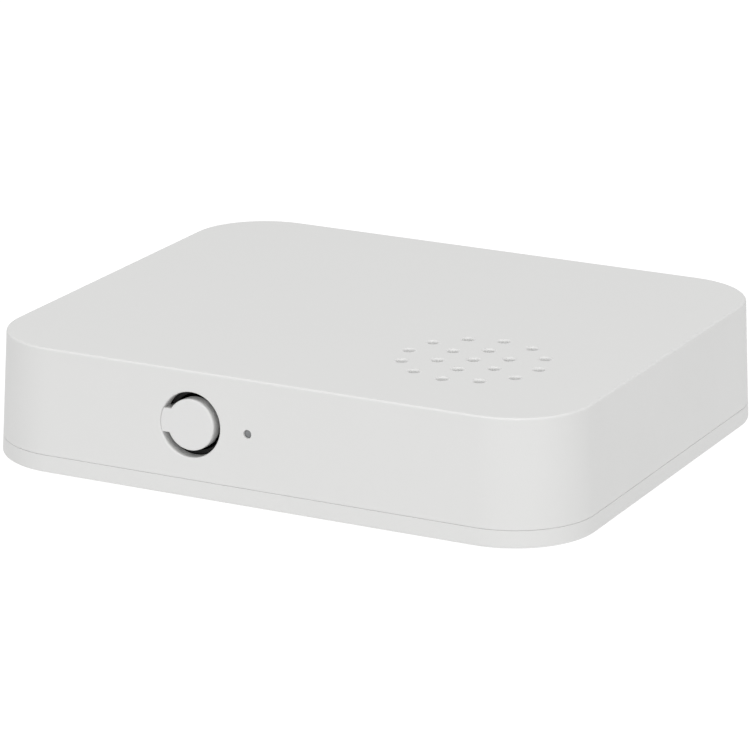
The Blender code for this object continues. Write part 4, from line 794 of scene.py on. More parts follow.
for node in ("dc_jack_body", "ethernet_jack_shell", "usb_jack_shell"):
    low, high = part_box(node)
    half_x = (high.x - low.x) / 2 + PORT_CLEARANCE
    half_z = (high.z - low.z) / 2 + PORT_CLEARANCE
    opening = hole_tool(
        lambda grow: rounded_rectangle(half_x + grow, half_z + grow, PORT_CORNER + grow, 6),
        PORT_TOOL_DEPTH,
        PORT_RIM,
    )
    place = back_wall_place((low.x + high.x) / 2, (low.z + high.z) / 2)
    cut(cover, f"{node}_opening", opening, place)
reset = middle_of("reset_switch_plunger")
pinhole = round_tool(RESET_HOLE_RADIUS, 32, 2 * WALL, PINHOLE_RIM)
cut(cover, "reset_hole_tool", pinhole, back_wall_place(reset.x, reset.z))
stand_in(cover, "top_cover")

# %% [markdown]
# ## Base
# The base closes the case from below. Its rim continues the leaning walls, and a tongue stands inside the
# cover. A light-coloured ledge lies just behind the seam, so that no dark gap opens between the two halves.

# %% The base's shell
TONGUE_INSET = WALL + GAP
TONGUE_THICKNESS = 1.4 * MM
LEDGE_INSET = LAP_DEPTH + 0.04 * MM


def base_shell():
    ledge_top = SEAM_Z + LAP_HEIGHT - 0.1 * MM
    inner = TONGUE_INSET + TONGUE_THICKNESS
    rings = [case_ring(FLOOR_TOP, inner), case_ring(BASE_HIGH.z, inner), case_ring(BASE_HIGH.z, TONGUE_INSET)]
    rings += [case_ring(ledge_top, TONGUE_INSET), case_ring(ledge_top, LEDGE_INSET)]
    rings.append(case_ring(SEAM_Z, LEDGE_INSET))
    rings += [case_ring(SEAM_Z - along, sideways) for sideways, along in quarter_arc(SEAM_SHOULDER, 3)]
    for sideways, along in reversed(quarter_arc(BOTTOM_EDGE, EDGE_STEPS)):
        rings.append(case_ring(BOTTOM_Z + along, sideways))
    return loft(rings)


base = piece_from("base_shell", base_shell())
print("base shell:", len(base.data.polygons), "faces")

# %% [markdown]
# Inside, four seats take the long screws, and four short pillars carry the board. Underneath are round
# recesses for the feet, counterbores for the screws, nine air slots and two keyholes. A keyhole's round part
# lets a screw's head in, and the slot behind it keeps the hub on the wall.

# %% Seats and pillars
SCREW_SEAT_RADIUS = 5.0 * MM
SCREW_HOLE_RADIUS = 1.75 * MM
PILLAR_RADIUS = 3.0 * MM
PILLAR_PILOT_RADIUS = 1.2 * MM
PILLAR_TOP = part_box("main_board")[0].z - GAP
BOARD_SCREWS = [f"board_screw_{k}" for k in (1, 2, 3, 4)]
UNDERSIDE = turn(180, "X")
CASE_SPANS = {"span_x": 2 * SCREW_POINTS[1].x, "span_y": 2 * SCREW_POINTS[2].y}

raised, pilots = bmesh.new(), bmesh.new()
for point in SCREW_POINTS:
    post(point, FLOOR_TOP - MM, SCREW_SEAT_TOP, SCREW_SEAT_RADIUS, 48, raised)
    post(point, BOTTOM_Z, SEAM_Z + MM, SCREW_HOLE_RADIUS, 32, pilots)
for node in BOARD_SCREWS:
    post(middle_of(node), FLOOR_TOP - MM, PILLAR_TOP, PILLAR_RADIUS, 32, raised)
    post(middle_of(node), FLOOR_TOP, PILLAR_TOP + MM, PILLAR_PILOT_RADIUS, 24, pilots)
join(base, "base_raised", raised)
cut(base, "base_pilots", pilots)
print("joined to the base:", [modifier.name for modifier in base.modifiers])

# %% Recesses, air slots and keyholes
UNDER_RIM = 0.25 * MM
FOOT_RECESS_RADIUS = 5.3 * MM
FOOT_RECESS_DEPTH = 0.8 * MM
COUNTERBORE_RADIUS = 3.4 * MM
COUNTERBORE_DEPTH = 2.2 * MM
VENT_COUNT = 9
VENT_PITCH = 4.6 * MM
VENT_SIZE = (1.8 * MM, 16.0 * MM)
VENT_Y = -8.0 * MM
KEYHOLE_SPACING = 50.0 * MM
KEYHOLE_Y = 22.0 * MM
KEYHOLE_RADIUS = 4.2 * MM
KEYHOLE_SLOT = 2.1 * MM
KEYHOLE_TRAVEL = 8.0 * MM


def keyhole_outline(grow):
    """A round entry with a slot towards the front, drawn as the outside of two circles and a strip."""
    large, small = KEYHOLE_RADIUS + grow, KEYHOLE_SLOT + grow
    meet = math.asin(small / large)
    angles = [-math.pi / 2 + meet + (math.tau - 2 * meet) * k / 40 for k in range(41)]
    head = [(large * math.cos(a), large * math.sin(a)) for a in angles]
    angles = [math.pi + math.pi * k / 16 for k in range(17)]
    return head + [(small * math.cos(a), small * math.sin(a) - KEYHOLE_TRAVEL) for a in angles]


def vent_outline(grow):
    half_x, half_y = VENT_SIZE[0] / 2 + grow, VENT_SIZE[1] / 2 + grow
    return rounded_rectangle(half_x, half_y, 0.98 * half_x, 6)


def under_tool(name, outline, depth, flip=1):
    """A cutter that goes up from the underside. Turning it over mirrors its plan, so flip puts that right."""
    mirrored = hole_tool(lambda grow: [(x, flip * y) for x, y in outline(grow)], depth, UNDER_RIM)
    return tool_from(name, mirrored, UNDERSIDE)


board = middle_of("main_board")
foot = middle_of("foot_front_right")
foot_tool = under_tool("foot_recess", lambda grow: circle(FOOT_RECESS_RADIUS + grow, 64), FOOT_RECESS_DEPTH)
bore_tool = under_tool("counterbore", lambda grow: circle(COUNTERBORE_RADIUS + grow, 48), COUNTERBORE_DEPTH)
vent_tool = under_tool("vent", vent_outline, FLOOR + GAP)
key_tool = under_tool("keyhole", keyhole_outline, FLOOR + GAP, -1)
low_middle = (0.0, 0.0, BOTTOM_Z)
FOOT_SPANS = {"span_x": 2 * foot.x, "span_y": CASE_SPANS["span_y"]}
use_tree(base, CUT_CORNERS, shape=foot_tool, centre=low_middle, material=WHITE, **FOOT_SPANS)
use_tree(base, CUT_CORNERS, shape=bore_tool, centre=low_middle, material=WHITE, **CASE_SPANS)
first_vent = board.x - (VENT_COUNT - 1) / 2 * VENT_PITCH
for tool, x, y, pitch, count in (
    (vent_tool, first_vent, VENT_Y, VENT_PITCH, VENT_COUNT),
    (key_tool, -KEYHOLE_SPACING / 2, KEYHOLE_Y, KEYHOLE_SPACING, 2),
):
    values = {"first": (x, y, BOTTOM_Z), "step": (pitch, 0, 0), "count": count}
    use_tree(base, CUT_ROW, shape=tool, material=WHITE, **values)
stand_in(base, "base_plate")

# %% [markdown]
# ## Feet and case screws
# Four soft rubber discs keep the hub from sliding. Their rims are rounded, and a shallow dish in the middle
# makes each stand on a ring. The screws are pan heads with a cross recess.

# %% Feet
FOOT_LOW, FOOT_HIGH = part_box("foot_front_right")
FOOT_RADIUS = (FOOT_HIGH.x - FOOT_LOW.x) / 2
FOOT_EDGE = 0.3 * MM
DISH_RADIUS = 3.6 * MM
DISH_DEPTH = 0.15 * MM


def foot_shape():
    profile = [(0, DISH_DEPTH), (DISH_RADIUS - DISH_DEPTH, DISH_DEPTH), (DISH_RADIUS, 0)]
    profile += [(FOOT_RADIUS - sideways, along) for sideways, along in quarter_arc(FOOT_EDGE, 4)]
    return turned([*profile, (FOOT_RADIUS, FOOT_HIGH.z), (0, FOOT_HIGH.z)])


def pattern_piece(name, tree, shape, slot, *nodes, **values):
    """A piece of the casing that is only the copies of one shape in a pattern."""
    piece = link(name, bpy.data.meshes.new(name))
    use_tree(piece, tree, shape=shape, material=FINISHES[slot], **values)
    settle(piece, FINISHES[slot])
    fit(piece, "casing", slot, *nodes)


feet = [f"foot_{place}" for place in PLACES]
shape = tool_from("foot", foot_shape())
pattern_piece("rubber_feet", CORNERS, shape, "grey_rubber", *feet, centre=(0.0, 0.0, 0.0), **FOOT_SPANS)

# %% Case screws
CASE_SCREW_RADIUS = 1.45 * MM
CASE_SCREW_HEAD = (2.8 * MM, 1.8 * MM)
CROSS_REACH = 0.62
CROSS_BLADE = 0.13


def screw_shape(name, radius, head_radius, head_height, length):
    """A cross-head screw that points up, with its head's underside at z = 0."""
    profile = [(0, -head_height)]
    profile += [(head_radius * 0.55, -head_height), (head_radius * 0.86, -0.85 * head_height)]
    profile += [(head_radius, -0.45 * head_height), (head_radius, 0), (radius, 0)]
    for k in range(int((length - 3 * radius) / (0.8 * radius))):
        z = 0.8 * radius * (k + 1)
        profile += [(0.8 * radius, z), (radius, z + 0.3 * radius), (0.8 * radius, z + 0.6 * radius)]
    profile += [(0.8 * radius, length - 1.4 * radius), (0, length)]
    body = piece_from(name, turned(profile, segments=32))
    reach, blade = CROSS_REACH * head_radius, CROSS_BLADE * head_radius
    for half_x, half_y in ((reach, blade), (blade, reach)):
        rings = []
        for share, z in ((1.0, -1.2 * head_height), (1.0, -head_height), (0.45, -0.35 * head_height)):
            points = rounded_rectangle(half_x * share, half_y * (1 + share) / 2, 0.3 * blade, 2)
            rings.append(at_height(points, z))
        cut(body, f"{name}_cross", loft(rings))
    settle(body)
    body.hide_render = True
    TOOLS.append(body)
    return body


low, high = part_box("case_screw_front_left")
head_radius, head_height = CASE_SCREW_HEAD
screw = screw_shape("case_screw", CASE_SCREW_RADIUS, head_radius, head_height, high.z - low.z - head_height)
screws = [f"case_screw_{place}" for place in PLACES]
seat = (0.0, 0.0, low.z + head_height)
pattern_piece("case_screws", CORNERS, screw, "zinc_steel", *screws, centre=seat, **CASE_SPANS)

# %% [markdown]
# ## Front button
# The button is a shallow cup with a softly rounded front edge. A tab on its left runs back to the hinge
# behind the wall. The front face and the tab are flush with the wall, so the tab seems to grow out of it.
# A peg under the button's middle presses the switch on the board.

# %% The button
BUTTON_RADIUS = 5.6 * MM
BUTTON_EDGE = 0.5 * MM
BUTTON_DEPTH = 3.0 * MM
BUTTON_SHELL = 1.2 * MM
TAB_HALF = 2.6 * MM
TAB_RISE = 0.3 * MM
TAB_REACH = BUTTON_HOLE_RADIUS - 0.04 * MM
TAB_EDGE = 0.18 * MM
ARM_THICKNESS = 1.7 * MM
BOSS_DROP = 4.2 * MM
BOSS_RADIUS = 1.3 * MM
BOSS_LENGTH = 4.2 * MM
PIN_HOLE_RADIUS = 0.85 * MM


def button_disc():
    inner = BUTTON_RADIUS - BUTTON_SHELL
    rings = [(BUTTON_RADIUS - sideways, -along) for sideways, along in quarter_arc(BUTTON_EDGE, 8)]
    rings += [(BUTTON_RADIUS, -BUTTON_DEPTH), (inner, -BUTTON_DEPTH), (inner, -BUTTON_SHELL - GAP)]
    return loft([at_height(circle(radius, 96), z) for radius, z in rings])


def tab_outline(shrink):
    reach, half = TAB_REACH - shrink, TAB_HALF - shrink
    above, below = math.asin((half + TAB_RISE) / reach), math.asin((half - TAB_RISE) / reach)
    angles = [math.pi - above + (above + below) * k / 12 for k in range(13)]
    inner = -BUTTON_RADIUS / 2
    corners = [(inner, TAB_RISE - half), (inner, TAB_RISE + half)]
    return corners + [(reach * math.cos(a), reach * math.sin(a)) for a in angles]


def button_tab():
    rings = [(sideways, -along) for sideways, along in quarter_arc(TAB_EDGE, 4)]
    rings.append((0.0, -BRACKET_DEPTH - ARM_THICKNESS))
    return loft([at_height(tab_outline(shrink), z) for shrink, z in rings])


def along_hinge(half_length, radius, segments):
    """A cylinder along the button's hinge."""
    ends = [(-HINGE_FROM_BUTTON, y, -HINGE_DEPTH) for y in (-half_length, half_length)]
    return rod(*ends, radius, segments)


button = piece_from("button_cap", button_disc())
join(button, "button_tab", button_tab())
arm_back = (-HINGE_FROM_BUTTON, -TAB_HALF, -BRACKET_DEPTH - ARM_THICKNESS)
join(button, "button_arm", slab(arm_back, (-BUTTON_RADIUS / 2, TAB_HALF, -BRACKET_DEPTH)))
join(button, "button_knuckle", along_hinge(TAB_HALF, KNUCKLE_RADIUS, 48))
boss_ends = [(0, -BOSS_DROP, z) for z in (-BUTTON_DEPTH - BOSS_LENGTH, -BUTTON_EDGE)]
join(button, "button_boss", rod(*boss_ends, BOSS_RADIUS, 32))
cut(button, "button_bore", along_hinge(2 * TAB_HALF, PIN_HOLE_RADIUS, 32))
stand_in(button, "front_button", place=INTO_FRONT)

# %% [markdown]
# ## Status light
# A light pipe carries the light of the small lamp on the board to the front. Its nose is thinner than the
# rest, so it fits the pinhole, and it ends a little below the surface. A bend turns it down to the lamp.

# %% Light pipe
PIPE_RADIUS = 1.1 * MM
NOSE_RADIUS = 0.88 * MM
NOSE_DEPTH = 0.6 * MM
NOSE_TAPER = 0.1 * MM
PIPE_BEND = 2.4 * MM
BEND_STEPS = 8
PIPE_LOW, PIPE_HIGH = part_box("light_pipe")


def light_pipe_shape():
    x, z = light.x, PIPE_HIGH.z - PIPE_RADIUS
    face = inset_at(z) - HALF_DEPTH
    down_y = PIPE_HIGH.y - PIPE_RADIUS
    steps = [
        (face + NOSE_DEPTH, 0.85 * NOSE_RADIUS),
        (face + NOSE_DEPTH + NOSE_TAPER, NOSE_RADIUS),
        (PIPE_LOW.y, NOSE_RADIUS),
        (PIPE_LOW.y + 0.02 * MM, PIPE_RADIUS),
    ]
    path = [(x, y, z) for y, _ in steps]
    for k in range(BEND_STEPS + 1):
        angle = math.radians(90) * k / BEND_STEPS
        y = down_y - PIPE_BEND + PIPE_BEND * math.sin(angle)
        path.append((x, y, z - PIPE_BEND + PIPE_BEND * math.cos(angle)))
    path.append((x, down_y, PIPE_LOW.z))
    return tube(path, [radius for _, radius in steps] + [PIPE_RADIUS] * (BEND_STEPS + 2), 32)


stand_in(piece_from("light_pipe_with_nose", light_pipe_shape()), "light_pipe")

# %% [markdown]
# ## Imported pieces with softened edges
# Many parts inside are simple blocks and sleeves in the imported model, and so are the real ones. Real edges
# have a small radius, and that is what makes them catch the light. A Bevel modifier adds it where two faces
# meet at more than a gentle angle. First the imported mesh's triangles are merged back into flat faces.

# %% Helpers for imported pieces
SOFT_ANGLE = math.radians(32)


def plain_copy(node):
    bm = bmesh.new()
    bm.from_mesh(frame["nodes"][node].data)
    bmesh.ops.remove_doubles(bm, verts=bm.verts, dist=1e-6)
    bmesh.ops.dissolve_limit(bm, angle_limit=math.radians(1), verts=bm.verts, edges=bm.edges)
    return bm


def soften(piece, width, steps=3):
    if width:
        bevel = piece.modifiers.new("soft_edges", "BEVEL")
        bevel.width = width
        bevel.segments = steps
        bevel.limit_method = "ANGLE"
        bevel.angle_limit = SOFT_ANGLE

# %% Softened blocks and sleeves
EDGE_WIDTHS = {
    "dc_jack_body": 0.25,
    "ethernet_jack_insert": 0.15,
    "ethernet_jack_shell": 0.15,
    "usb_jack_shell": 0.12,
    "usb_jack_tongue": 0.15,
    "button_bracket": 0.15,
    "button_hinge_pin": 0.12,
    "front_switch_body": 0.15,
    "front_switch_plunger": 0.2,
    "reset_switch_body": 0.15,
    "reset_switch_plunger": 0.15,
    "main_board": 0.06,
    "processor_chip": 0.12,
    "ethernet_transformer": 0.3,
    "memory_chip": 0.1,
    "radio_module": 0.05,
    "heatsink": 0.15,
    "status_led": 0.15,
    "battery_connector": 0.2,
    "speaker_connector": 0.2,
    "battery_holder": 0.35,
    "battery_contact_front": 0.1,
    "battery_contact_rear": 0.1,
    "battery_lead": 0.0,
    "speaker_lead": 0.0,
}
for node, width in EDGE_WIDTHS.items():
    piece = piece_from(f"{node}_fine", plain_copy(node))
    soften(piece, width * MM)
    stand_in(piece, node)

# %% [markdown]
# ## Contacts in the sockets
# The network socket has eight springy wires under its roof, each bent back on itself so that it presses on
# the plug. The USB socket has four flat contacts under its tongue. The power socket's pin is turned, with a
# domed tip and a slot that makes it springy.

# %% Contacts
WIRE_RADIUS = 0.18 * MM
JACK_LOW, JACK_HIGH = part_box("ethernet_jack_insert")
CONTACT_PITCH = 1.02 * MM
TONGUE_LOW, TONGUE_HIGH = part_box("usb_jack_tongue")
USB_PITCH = 2.3 * MM
USB_BLADE = ((-0.5 * MM, -7.6 * MM, -0.12 * MM), (0.5 * MM, -0.7 * MM, 0.04 * MM))
DC_LOW, DC_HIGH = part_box("dc_jack_pin")


def jack_wire():
    """One wire of the network socket, in the plane x = 0, measured from the insert's mouth and its top."""
    spots = [(-11.4, -1.45), (-2.6, -1.45), (-1.6, -1.6), (-1.4, -2.1)]
    spots += [(-2.0, -2.6), (-8.0, -5.6), (-10.6, -6.5)]
    return tube([(0, y * MM, z * MM) for y, z in spots], [WIRE_RADIUS] * len(spots), 10)


def row_piece(name, tool, low, high, y, z, pitch, count):
    """A row of nickel contacts along X, centred between two corners."""
    first = ((low.x + high.x) / 2 - (count - 1) / 2 * pitch, y, z)
    pattern_piece(name, ROW, tool, "nickel_plate", first=first, step=(pitch, 0.0, 0.0), count=count)


wire = tool_from("jack_wire", jack_wire())
row_piece("ethernet_contacts", wire, JACK_LOW, JACK_HIGH, JACK_HIGH.y, JACK_HIGH.z, CONTACT_PITCH, 8)
blade = tool_from("usb_blade", slab(*USB_BLADE))
row_piece("usb_contacts", blade, TONGUE_LOW, TONGUE_HIGH, TONGUE_HIGH.y, TONGUE_LOW.z, USB_PITCH, 4)

radius = (DC_HIGH.x - DC_LOW.x) / 2
length = DC_HIGH.y - DC_LOW.y
profile = [(0, 0), (radius, 0), (radius, length - 1.2 * radius)]
profile += [(radius - sideways * 0.9, length - along) for sideways, along in reversed(quarter_arc(radius, 6))]
pin = piece_from("dc_pin_turned", turned([*profile, (0, length)], segments=48))
slit = slab((-2 * radius, -0.12 * radius, 0.5 * length), (2 * radius, 0.12 * radius, 2 * length))
cut(pin, "dc_pin_slit", slit)
bake(pin)


def lay_back(piece, node, front):
    """Lays a piece that was turned upright along Y, from the height of a node's front end."""
    middle = middle_of(node)
    piece.data.transform(Matrix.Translation((middle.x, front, middle.z)) @ turn(-90, "X"))


lay_back(pin, "dc_jack_pin", DC_LOW.y)
stand_in(pin, "dc_jack_pin")

# %% [markdown]
# ## Loudspeaker
# Everything here is turned round one axis. Each part is drawn as an outline in radius and height, its corners
# are rounded, and the outline is spun. The cone, its soft surround and the voice coil move together.

# %% Loudspeaker
SPEAKER_SEGMENTS = 96
AXIS = (speaker.x, speaker.y)


def round_corners(outline, radius, closed=True, steps=3):
    """The outline with each corner replaced by a small curve. The ends of an open outline stay."""
    made = []
    for k, point in enumerate(outline):
        if not closed and k in (0, len(outline) - 1):
            made.append(point)
            continue
        here = Vector(point)
        before = Vector(outline[k - 1]) - here
        after = Vector(outline[(k + 1) % len(outline)]) - here
        start = here + before.normalized() * min(radius, 0.45 * before.length)
        end = here + after.normalized() * min(radius, 0.45 * after.length)
        for j in range(steps + 1):
            s = j / steps
            made.append(tuple(start * (1 - s) ** 2 + here * 2 * s * (1 - s) + end * s**2))
    return made


def speaker_box(node):
    """A speaker part's outer radius, lowest height and highest height."""
    low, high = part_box(node)
    return (high.x - low.x) / 2, low.z, high.z


def ring_piece(node, inner, corner):
    outer, low, high = speaker_box(node)
    outline = [(inner, low), (outer, low), (outer, high), (inner, high)]
    bm = turned_ring(round_corners(outline, corner), AXIS, SPEAKER_SEGMENTS)
    stand_in(piece_from(f"{node}_turned", bm), node)


def solid_piece(name, node, outline, corner):
    bm = turned(round_corners(outline, corner, closed=False), AXIS, SPEAKER_SEGMENTS)
    stand_in(piece_from(name, bm), node)


for node, inner, corner in (
    ("speaker_gasket", 15.5, 0.25),
    ("speaker_front_plate", 6.6, 0.15),
    ("speaker_magnet", 6.9, 0.3),
):
    ring_piece(node, inner * MM, corner * MM)

outer, low, high = speaker_box("speaker_dust_screen")
outline = [(0, low), (outer, low), (outer, high), (0, high)]
solid_piece("dust_screen_turned", "speaker_dust_screen", outline, 0.12 * MM)

BASKET_RADIUS, SEAT_LOW, FLANGE_TOP = speaker_box("speaker_basket")
BASKET_WALL = 0.7 * MM
FLANGE = (2.6 * MM, 1.0 * MM)
UPRIGHT_LOW = FLANGE_TOP - 2.2 * MM
SEAT_RADIUS = 10.2 * MM
rim = BASKET_RADIUS - FLANGE[0]
outline = [
    (rim, FLANGE_TOP),
    (BASKET_RADIUS, FLANGE_TOP),
    (BASKET_RADIUS, FLANGE_TOP - FLANGE[1]),
    (rim + BASKET_WALL, FLANGE_TOP - FLANGE[1]),
    (rim + BASKET_WALL, UPRIGHT_LOW),
    (SEAT_RADIUS + BASKET_WALL, SEAT_LOW),
    (SEAT_RADIUS - 3 * BASKET_WALL, SEAT_LOW),
    (SEAT_RADIUS - 3 * BASKET_WALL, SEAT_LOW + BASKET_WALL),
    (SEAT_RADIUS, SEAT_LOW + BASKET_WALL),
    (rim, UPRIGHT_LOW),
]
basket = piece_from("basket_turned", turned_ring(round_corners(outline, 0.3 * MM), AXIS, SPEAKER_SEGMENTS))
WINDOW = (4.75 * MM, 1.1 * MM, 0.7 * MM)
window = rounded_rectangle(*WINDOW, 5)
for k in range(4):
    tool = prism(window, SEAT_RADIUS - 2 * MM, rim + 2 * MM)
    facing = turn(90 * k + 45, "Z") @ turn(90, "Y") @ turn(90, "Z")
    place = Matrix.Translation((*AXIS, (SEAT_LOW + UPRIGHT_LOW) / 2 + BASKET_WALL / 2)) @ facing
    cut(basket, f"basket_window_{k}", tool, place)
stand_in(basket, "speaker_basket")

SURROUND_WIDTH = 3.0 * MM
outer, low, high = speaker_box("speaker_surround")
inner, thickness = outer - SURROUND_WIDTH, 0.5 * MM
middle_radius, rise = (outer + inner) / 2, high - low - thickness
angles = [math.pi * k / 20 for k in range(21)]
half = SURROUND_WIDTH / 2
over = [(middle_radius + half * math.cos(a), high - rise + rise * math.sin(a)) for a in angles]
under = [(r, z - thickness) for r, z in reversed(over)]
stand_in(piece_from("surround_turned", turned_ring(over + under, AXIS, SPEAKER_SEGMENTS)), "speaker_surround")

COIL_OUTER, COIL_LOW, COIL_HIGH = speaker_box("voice_coil")
COIL_WALL = 0.8 * MM
COIL_INNER = COIL_OUTER - COIL_WALL
COIL_TURNS = 20
wound = [(COIL_INNER, COIL_HIGH), (COIL_INNER, COIL_LOW)]
pitch = (COIL_HIGH - COIL_LOW) / COIL_TURNS
for k in range(COIL_TURNS):
    for share, depth in ((0.05, 1.0), (0.3, 0.15), (0.5, 0.0), (0.7, 0.15), (0.95, 1.0)):
        wound.append((COIL_OUTER - 0.4 * pitch * depth, COIL_LOW + (k + share) * pitch))
coil = piece_from("voice_coil_wound", turned_ring(wound, AXIS, SPEAKER_SEGMENTS))
stand_in(coil, "voice_coil", angle=50.0)

outer, low, high = speaker_box("speaker_cone")
thickness, dome = 0.5 * MM, 1.6 * MM
inside = low + thickness
slope = []
for k in range(13):
    s = k / 12
    up = 0.25 * MM * math.sin(math.pi * s)
    slope.append((COIL_INNER + (outer - COIL_INNER) * s, inside + (high - low - thickness) * s + up))
angles = [math.pi / 2 * k / 10 for k in range(10)]
cap = [(COIL_INNER * math.sin(a), inside + dome * math.cos(a)) for a in angles]
lower = [(outer, high - thickness), (COIL_OUTER, low), (0, low)]
cone = turned([*cap, *slope, *lower], AXIS, SPEAKER_SEGMENTS)
stand_in(piece_from("cone_turned", cone), "speaker_cone", angle=30.0)

YOKE_FLOOR, POLE_RADIUS = 1.2 * MM, 4.8 * MM
outer, low, high = speaker_box("speaker_yoke")
step = low + YOKE_FLOOR
outline = [(0, low), (outer, low), (outer, step), (POLE_RADIUS, step), (POLE_RADIUS, high), (0, high)]
solid_piece("yoke_turned", "speaker_yoke", outline, 0.25 * MM)

# %% [markdown]
# ## Screws of the board and the loudspeaker
# One screw is drawn for each size and then put at every place. The board's screws point down, so theirs is
# turned over first.

# %% Small screws
BOARD_SCREW = (1.1 * MM, 1.5 * MM)
SPEAKER_SCREW = (0.9 * MM, 1.4 * MM)


def at_points(name, shape, points):
    """One piece made of copies of a shape's mesh."""
    bm = bmesh.new()
    for point in points:
        copy = shape.data.copy()
        copy.transform(Matrix.Translation(point))
        bm.from_mesh(copy)
        bpy.data.meshes.remove(copy)
    mesh = bpy.data.meshes.new(name)
    bm.to_mesh(mesh)
    bm.free()
    return link(name, mesh)


def small_screws(name, nodes, radius, head_height, down):
    low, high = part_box(nodes[0])
    head_radius = (high.x - low.x) / 2
    shape = screw_shape(f"{name}_shape", radius, head_radius, head_height, high.z - low.z - head_height)
    if down:
        shape.data.transform(UNDERSIDE)
    head_z = high.z - head_height if down else low.z + head_height
    points = [(middle_of(node).x, middle_of(node).y, head_z) for node in nodes]
    stand_in(at_points(name, shape, points), *nodes)


small_screws("board_screws", BOARD_SCREWS, *BOARD_SCREW, True)
small_screws("speaker_screws", SPEAKER_SCREWS, *SPEAKER_SCREW, False)

# %% [markdown]
# ## Parts on the board
# The capacitor is a drawn can with a crimped groove and a scored lid. The inductor is a rounded ferrite
# block with a ring groove. The aerial is a coil of copper wire. The memory chip and the network transformer
# stand on rows of bent leads, and the shielding can has a row of vent holes.

# %% Capacitor, inductor and shielding can
SCORE = (2.4 * MM, 0.1 * MM)
GROOVE_RADII = (3.2 * MM, 3.5 * MM)
GROOVE_DEPTH = 0.35 * MM


def capacitor_can():
    low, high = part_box("filter_capacitor")
    x, y = (low.x + high.x) / 2, (low.y + high.y) / 2
    r = (high.x - low.x) / 2
    profile = [(0, high.z - 0.15 * MM), (r - 0.7 * MM, high.z - 0.15 * MM), (r - 0.45 * MM, high.z)]
    profile += [(r - 0.2 * MM, high.z - 0.05 * MM), (r, high.z - 0.3 * MM), (r, low.z + 2.1 * MM)]
    profile += [(r - 0.25 * MM, low.z + 1.8 * MM), (r - 0.25 * MM, low.z + 1.5 * MM), (r, low.z + 1.2 * MM)]
    can = piece_from("capacitor_can", turned([*profile, (r, low.z), (0, low.z)], (x, y), 64))
    for k, (half_x, half_y) in enumerate((SCORE, SCORE[::-1])):
        score = slab((x - half_x, y - half_y, high.z - 0.25 * MM), (x + half_x, y + half_y, high.z + MM))
        cut(can, f"score_{k}", score)
    return can


stand_in(capacitor_can(), "filter_capacitor")

inductor = piece_from("inductor_block", plain_copy("power_inductor"))
soften(inductor, 0.7 * MM, 4)
low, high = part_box("power_inductor")
inner, outer = GROOVE_RADII
bottom, above = high.z - GROOVE_DEPTH, high.z + MM
groove = [(inner, bottom), (outer, bottom), (outer, above), (inner, above)]
cut(inductor, "inductor_groove", turned_ring(groove, ((low.x + high.x) / 2, (low.y + high.y) / 2)))
stand_in(inductor, "power_inductor")

shield = piece_from("shield_can", plain_copy("radio_shield_can"))
soften(shield, 0.35 * MM, 4)
low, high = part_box("radio_shield_can")
vent = tool_from("shield_vent", rod((0, 0, -0.3 * MM), (0, 0, MM), 0.45 * MM, 24))
values = {"first": (low.x + 3 * MM, (low.y + high.y) / 2, high.z), "step": (2 * MM, 0, 0), "count": 5}
use_tree(shield, CUT_ROW, shape=vent, material=FINISHES["nickel_plate"], **values)
stand_in(shield, "radio_shield_can")

# %% Aerial and bent leads
AERIAL_WIRE = 0.4 * MM
AERIAL_TURNS = 5
AERIAL_STEPS = 32 * AERIAL_TURNS
LEAD_RUN = [(-0.2, 0.55), (0.25, 0.55), (0.42, 0.42), (0.48, 0.14), (0.6, 0.06), (1.0, 0.06)]
LEAD_SECTION = [(-0.16, -0.05), (0.16, -0.05), (0.16, 0.05), (-0.16, 0.05)]

low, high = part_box("helical_antenna")
aerial_radius = (high.z - low.z) / 2 - AERIAL_WIRE
centre = (low + high) / 2
path = []
for k in range(AERIAL_STEPS + 1):
    angle = math.tau * k / 32
    x = low.x + AERIAL_WIRE + (high.x - low.x - 2 * AERIAL_WIRE) * k / AERIAL_STEPS
    path.append((x, centre.y + aerial_radius * math.sin(angle), centre.z - aerial_radius * math.cos(angle)))
stand_in(piece_from("aerial_coil", tube(path, [AERIAL_WIRE] * len(path), 16)), "helical_antenna")


def bent_lead(side):
    """A flat lead that steps down from a chip's side to the board, seen in the plane x = 0."""
    rings = []
    for y, z in LEAD_RUN:
        rings.append([Vector((x * MM, side * y * MM, (z + up) * MM)) for x, up in LEAD_SECTION])
    return loft(rings)


for node, pitch, count in (("memory_chip", 0.9, 8), ("ethernet_transformer", 1.27, 9)):
    low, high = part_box(node)
    for side, name, edge in ((-1, "front", low.y), (1, "rear", high.y)):
        lead = tool_from(f"{node}_lead", bent_lead(side))
        row_piece(f"{node}_leads_{name}", lead, low, high, edge, low.z, pitch * MM, count)

# %% [markdown]
# The board's small resistors and capacitors stand on a grid, turned one way or the other. A place is used
# only where no larger part's box comes near it. The random numbers start from a fixed seed, so the board is
# the same every time.

# %% Small parts
PART_GRID = 2.9 * MM
PART_MARGIN = 1.3 * MM
PART_SHARE = 0.4
BOARD_LOW, BOARD_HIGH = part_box("main_board")
PART_Z = BOARD_HIGH.z
dice = random.Random(12)
near = []
for node in frame["nodes"]:
    low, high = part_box(node)
    at_board = low.z < PART_Z + MM and high.z > PART_Z + 0.1 * MM
    if at_board and node not in ("main_board", "base_plate", "top_cover"):
        near.append((low, high))


def is_free(x, y):
    return not any(
        low.x - PART_MARGIN < x < high.x + PART_MARGIN and low.y - PART_MARGIN < y < high.y + PART_MARGIN
        for low, high in near
    )


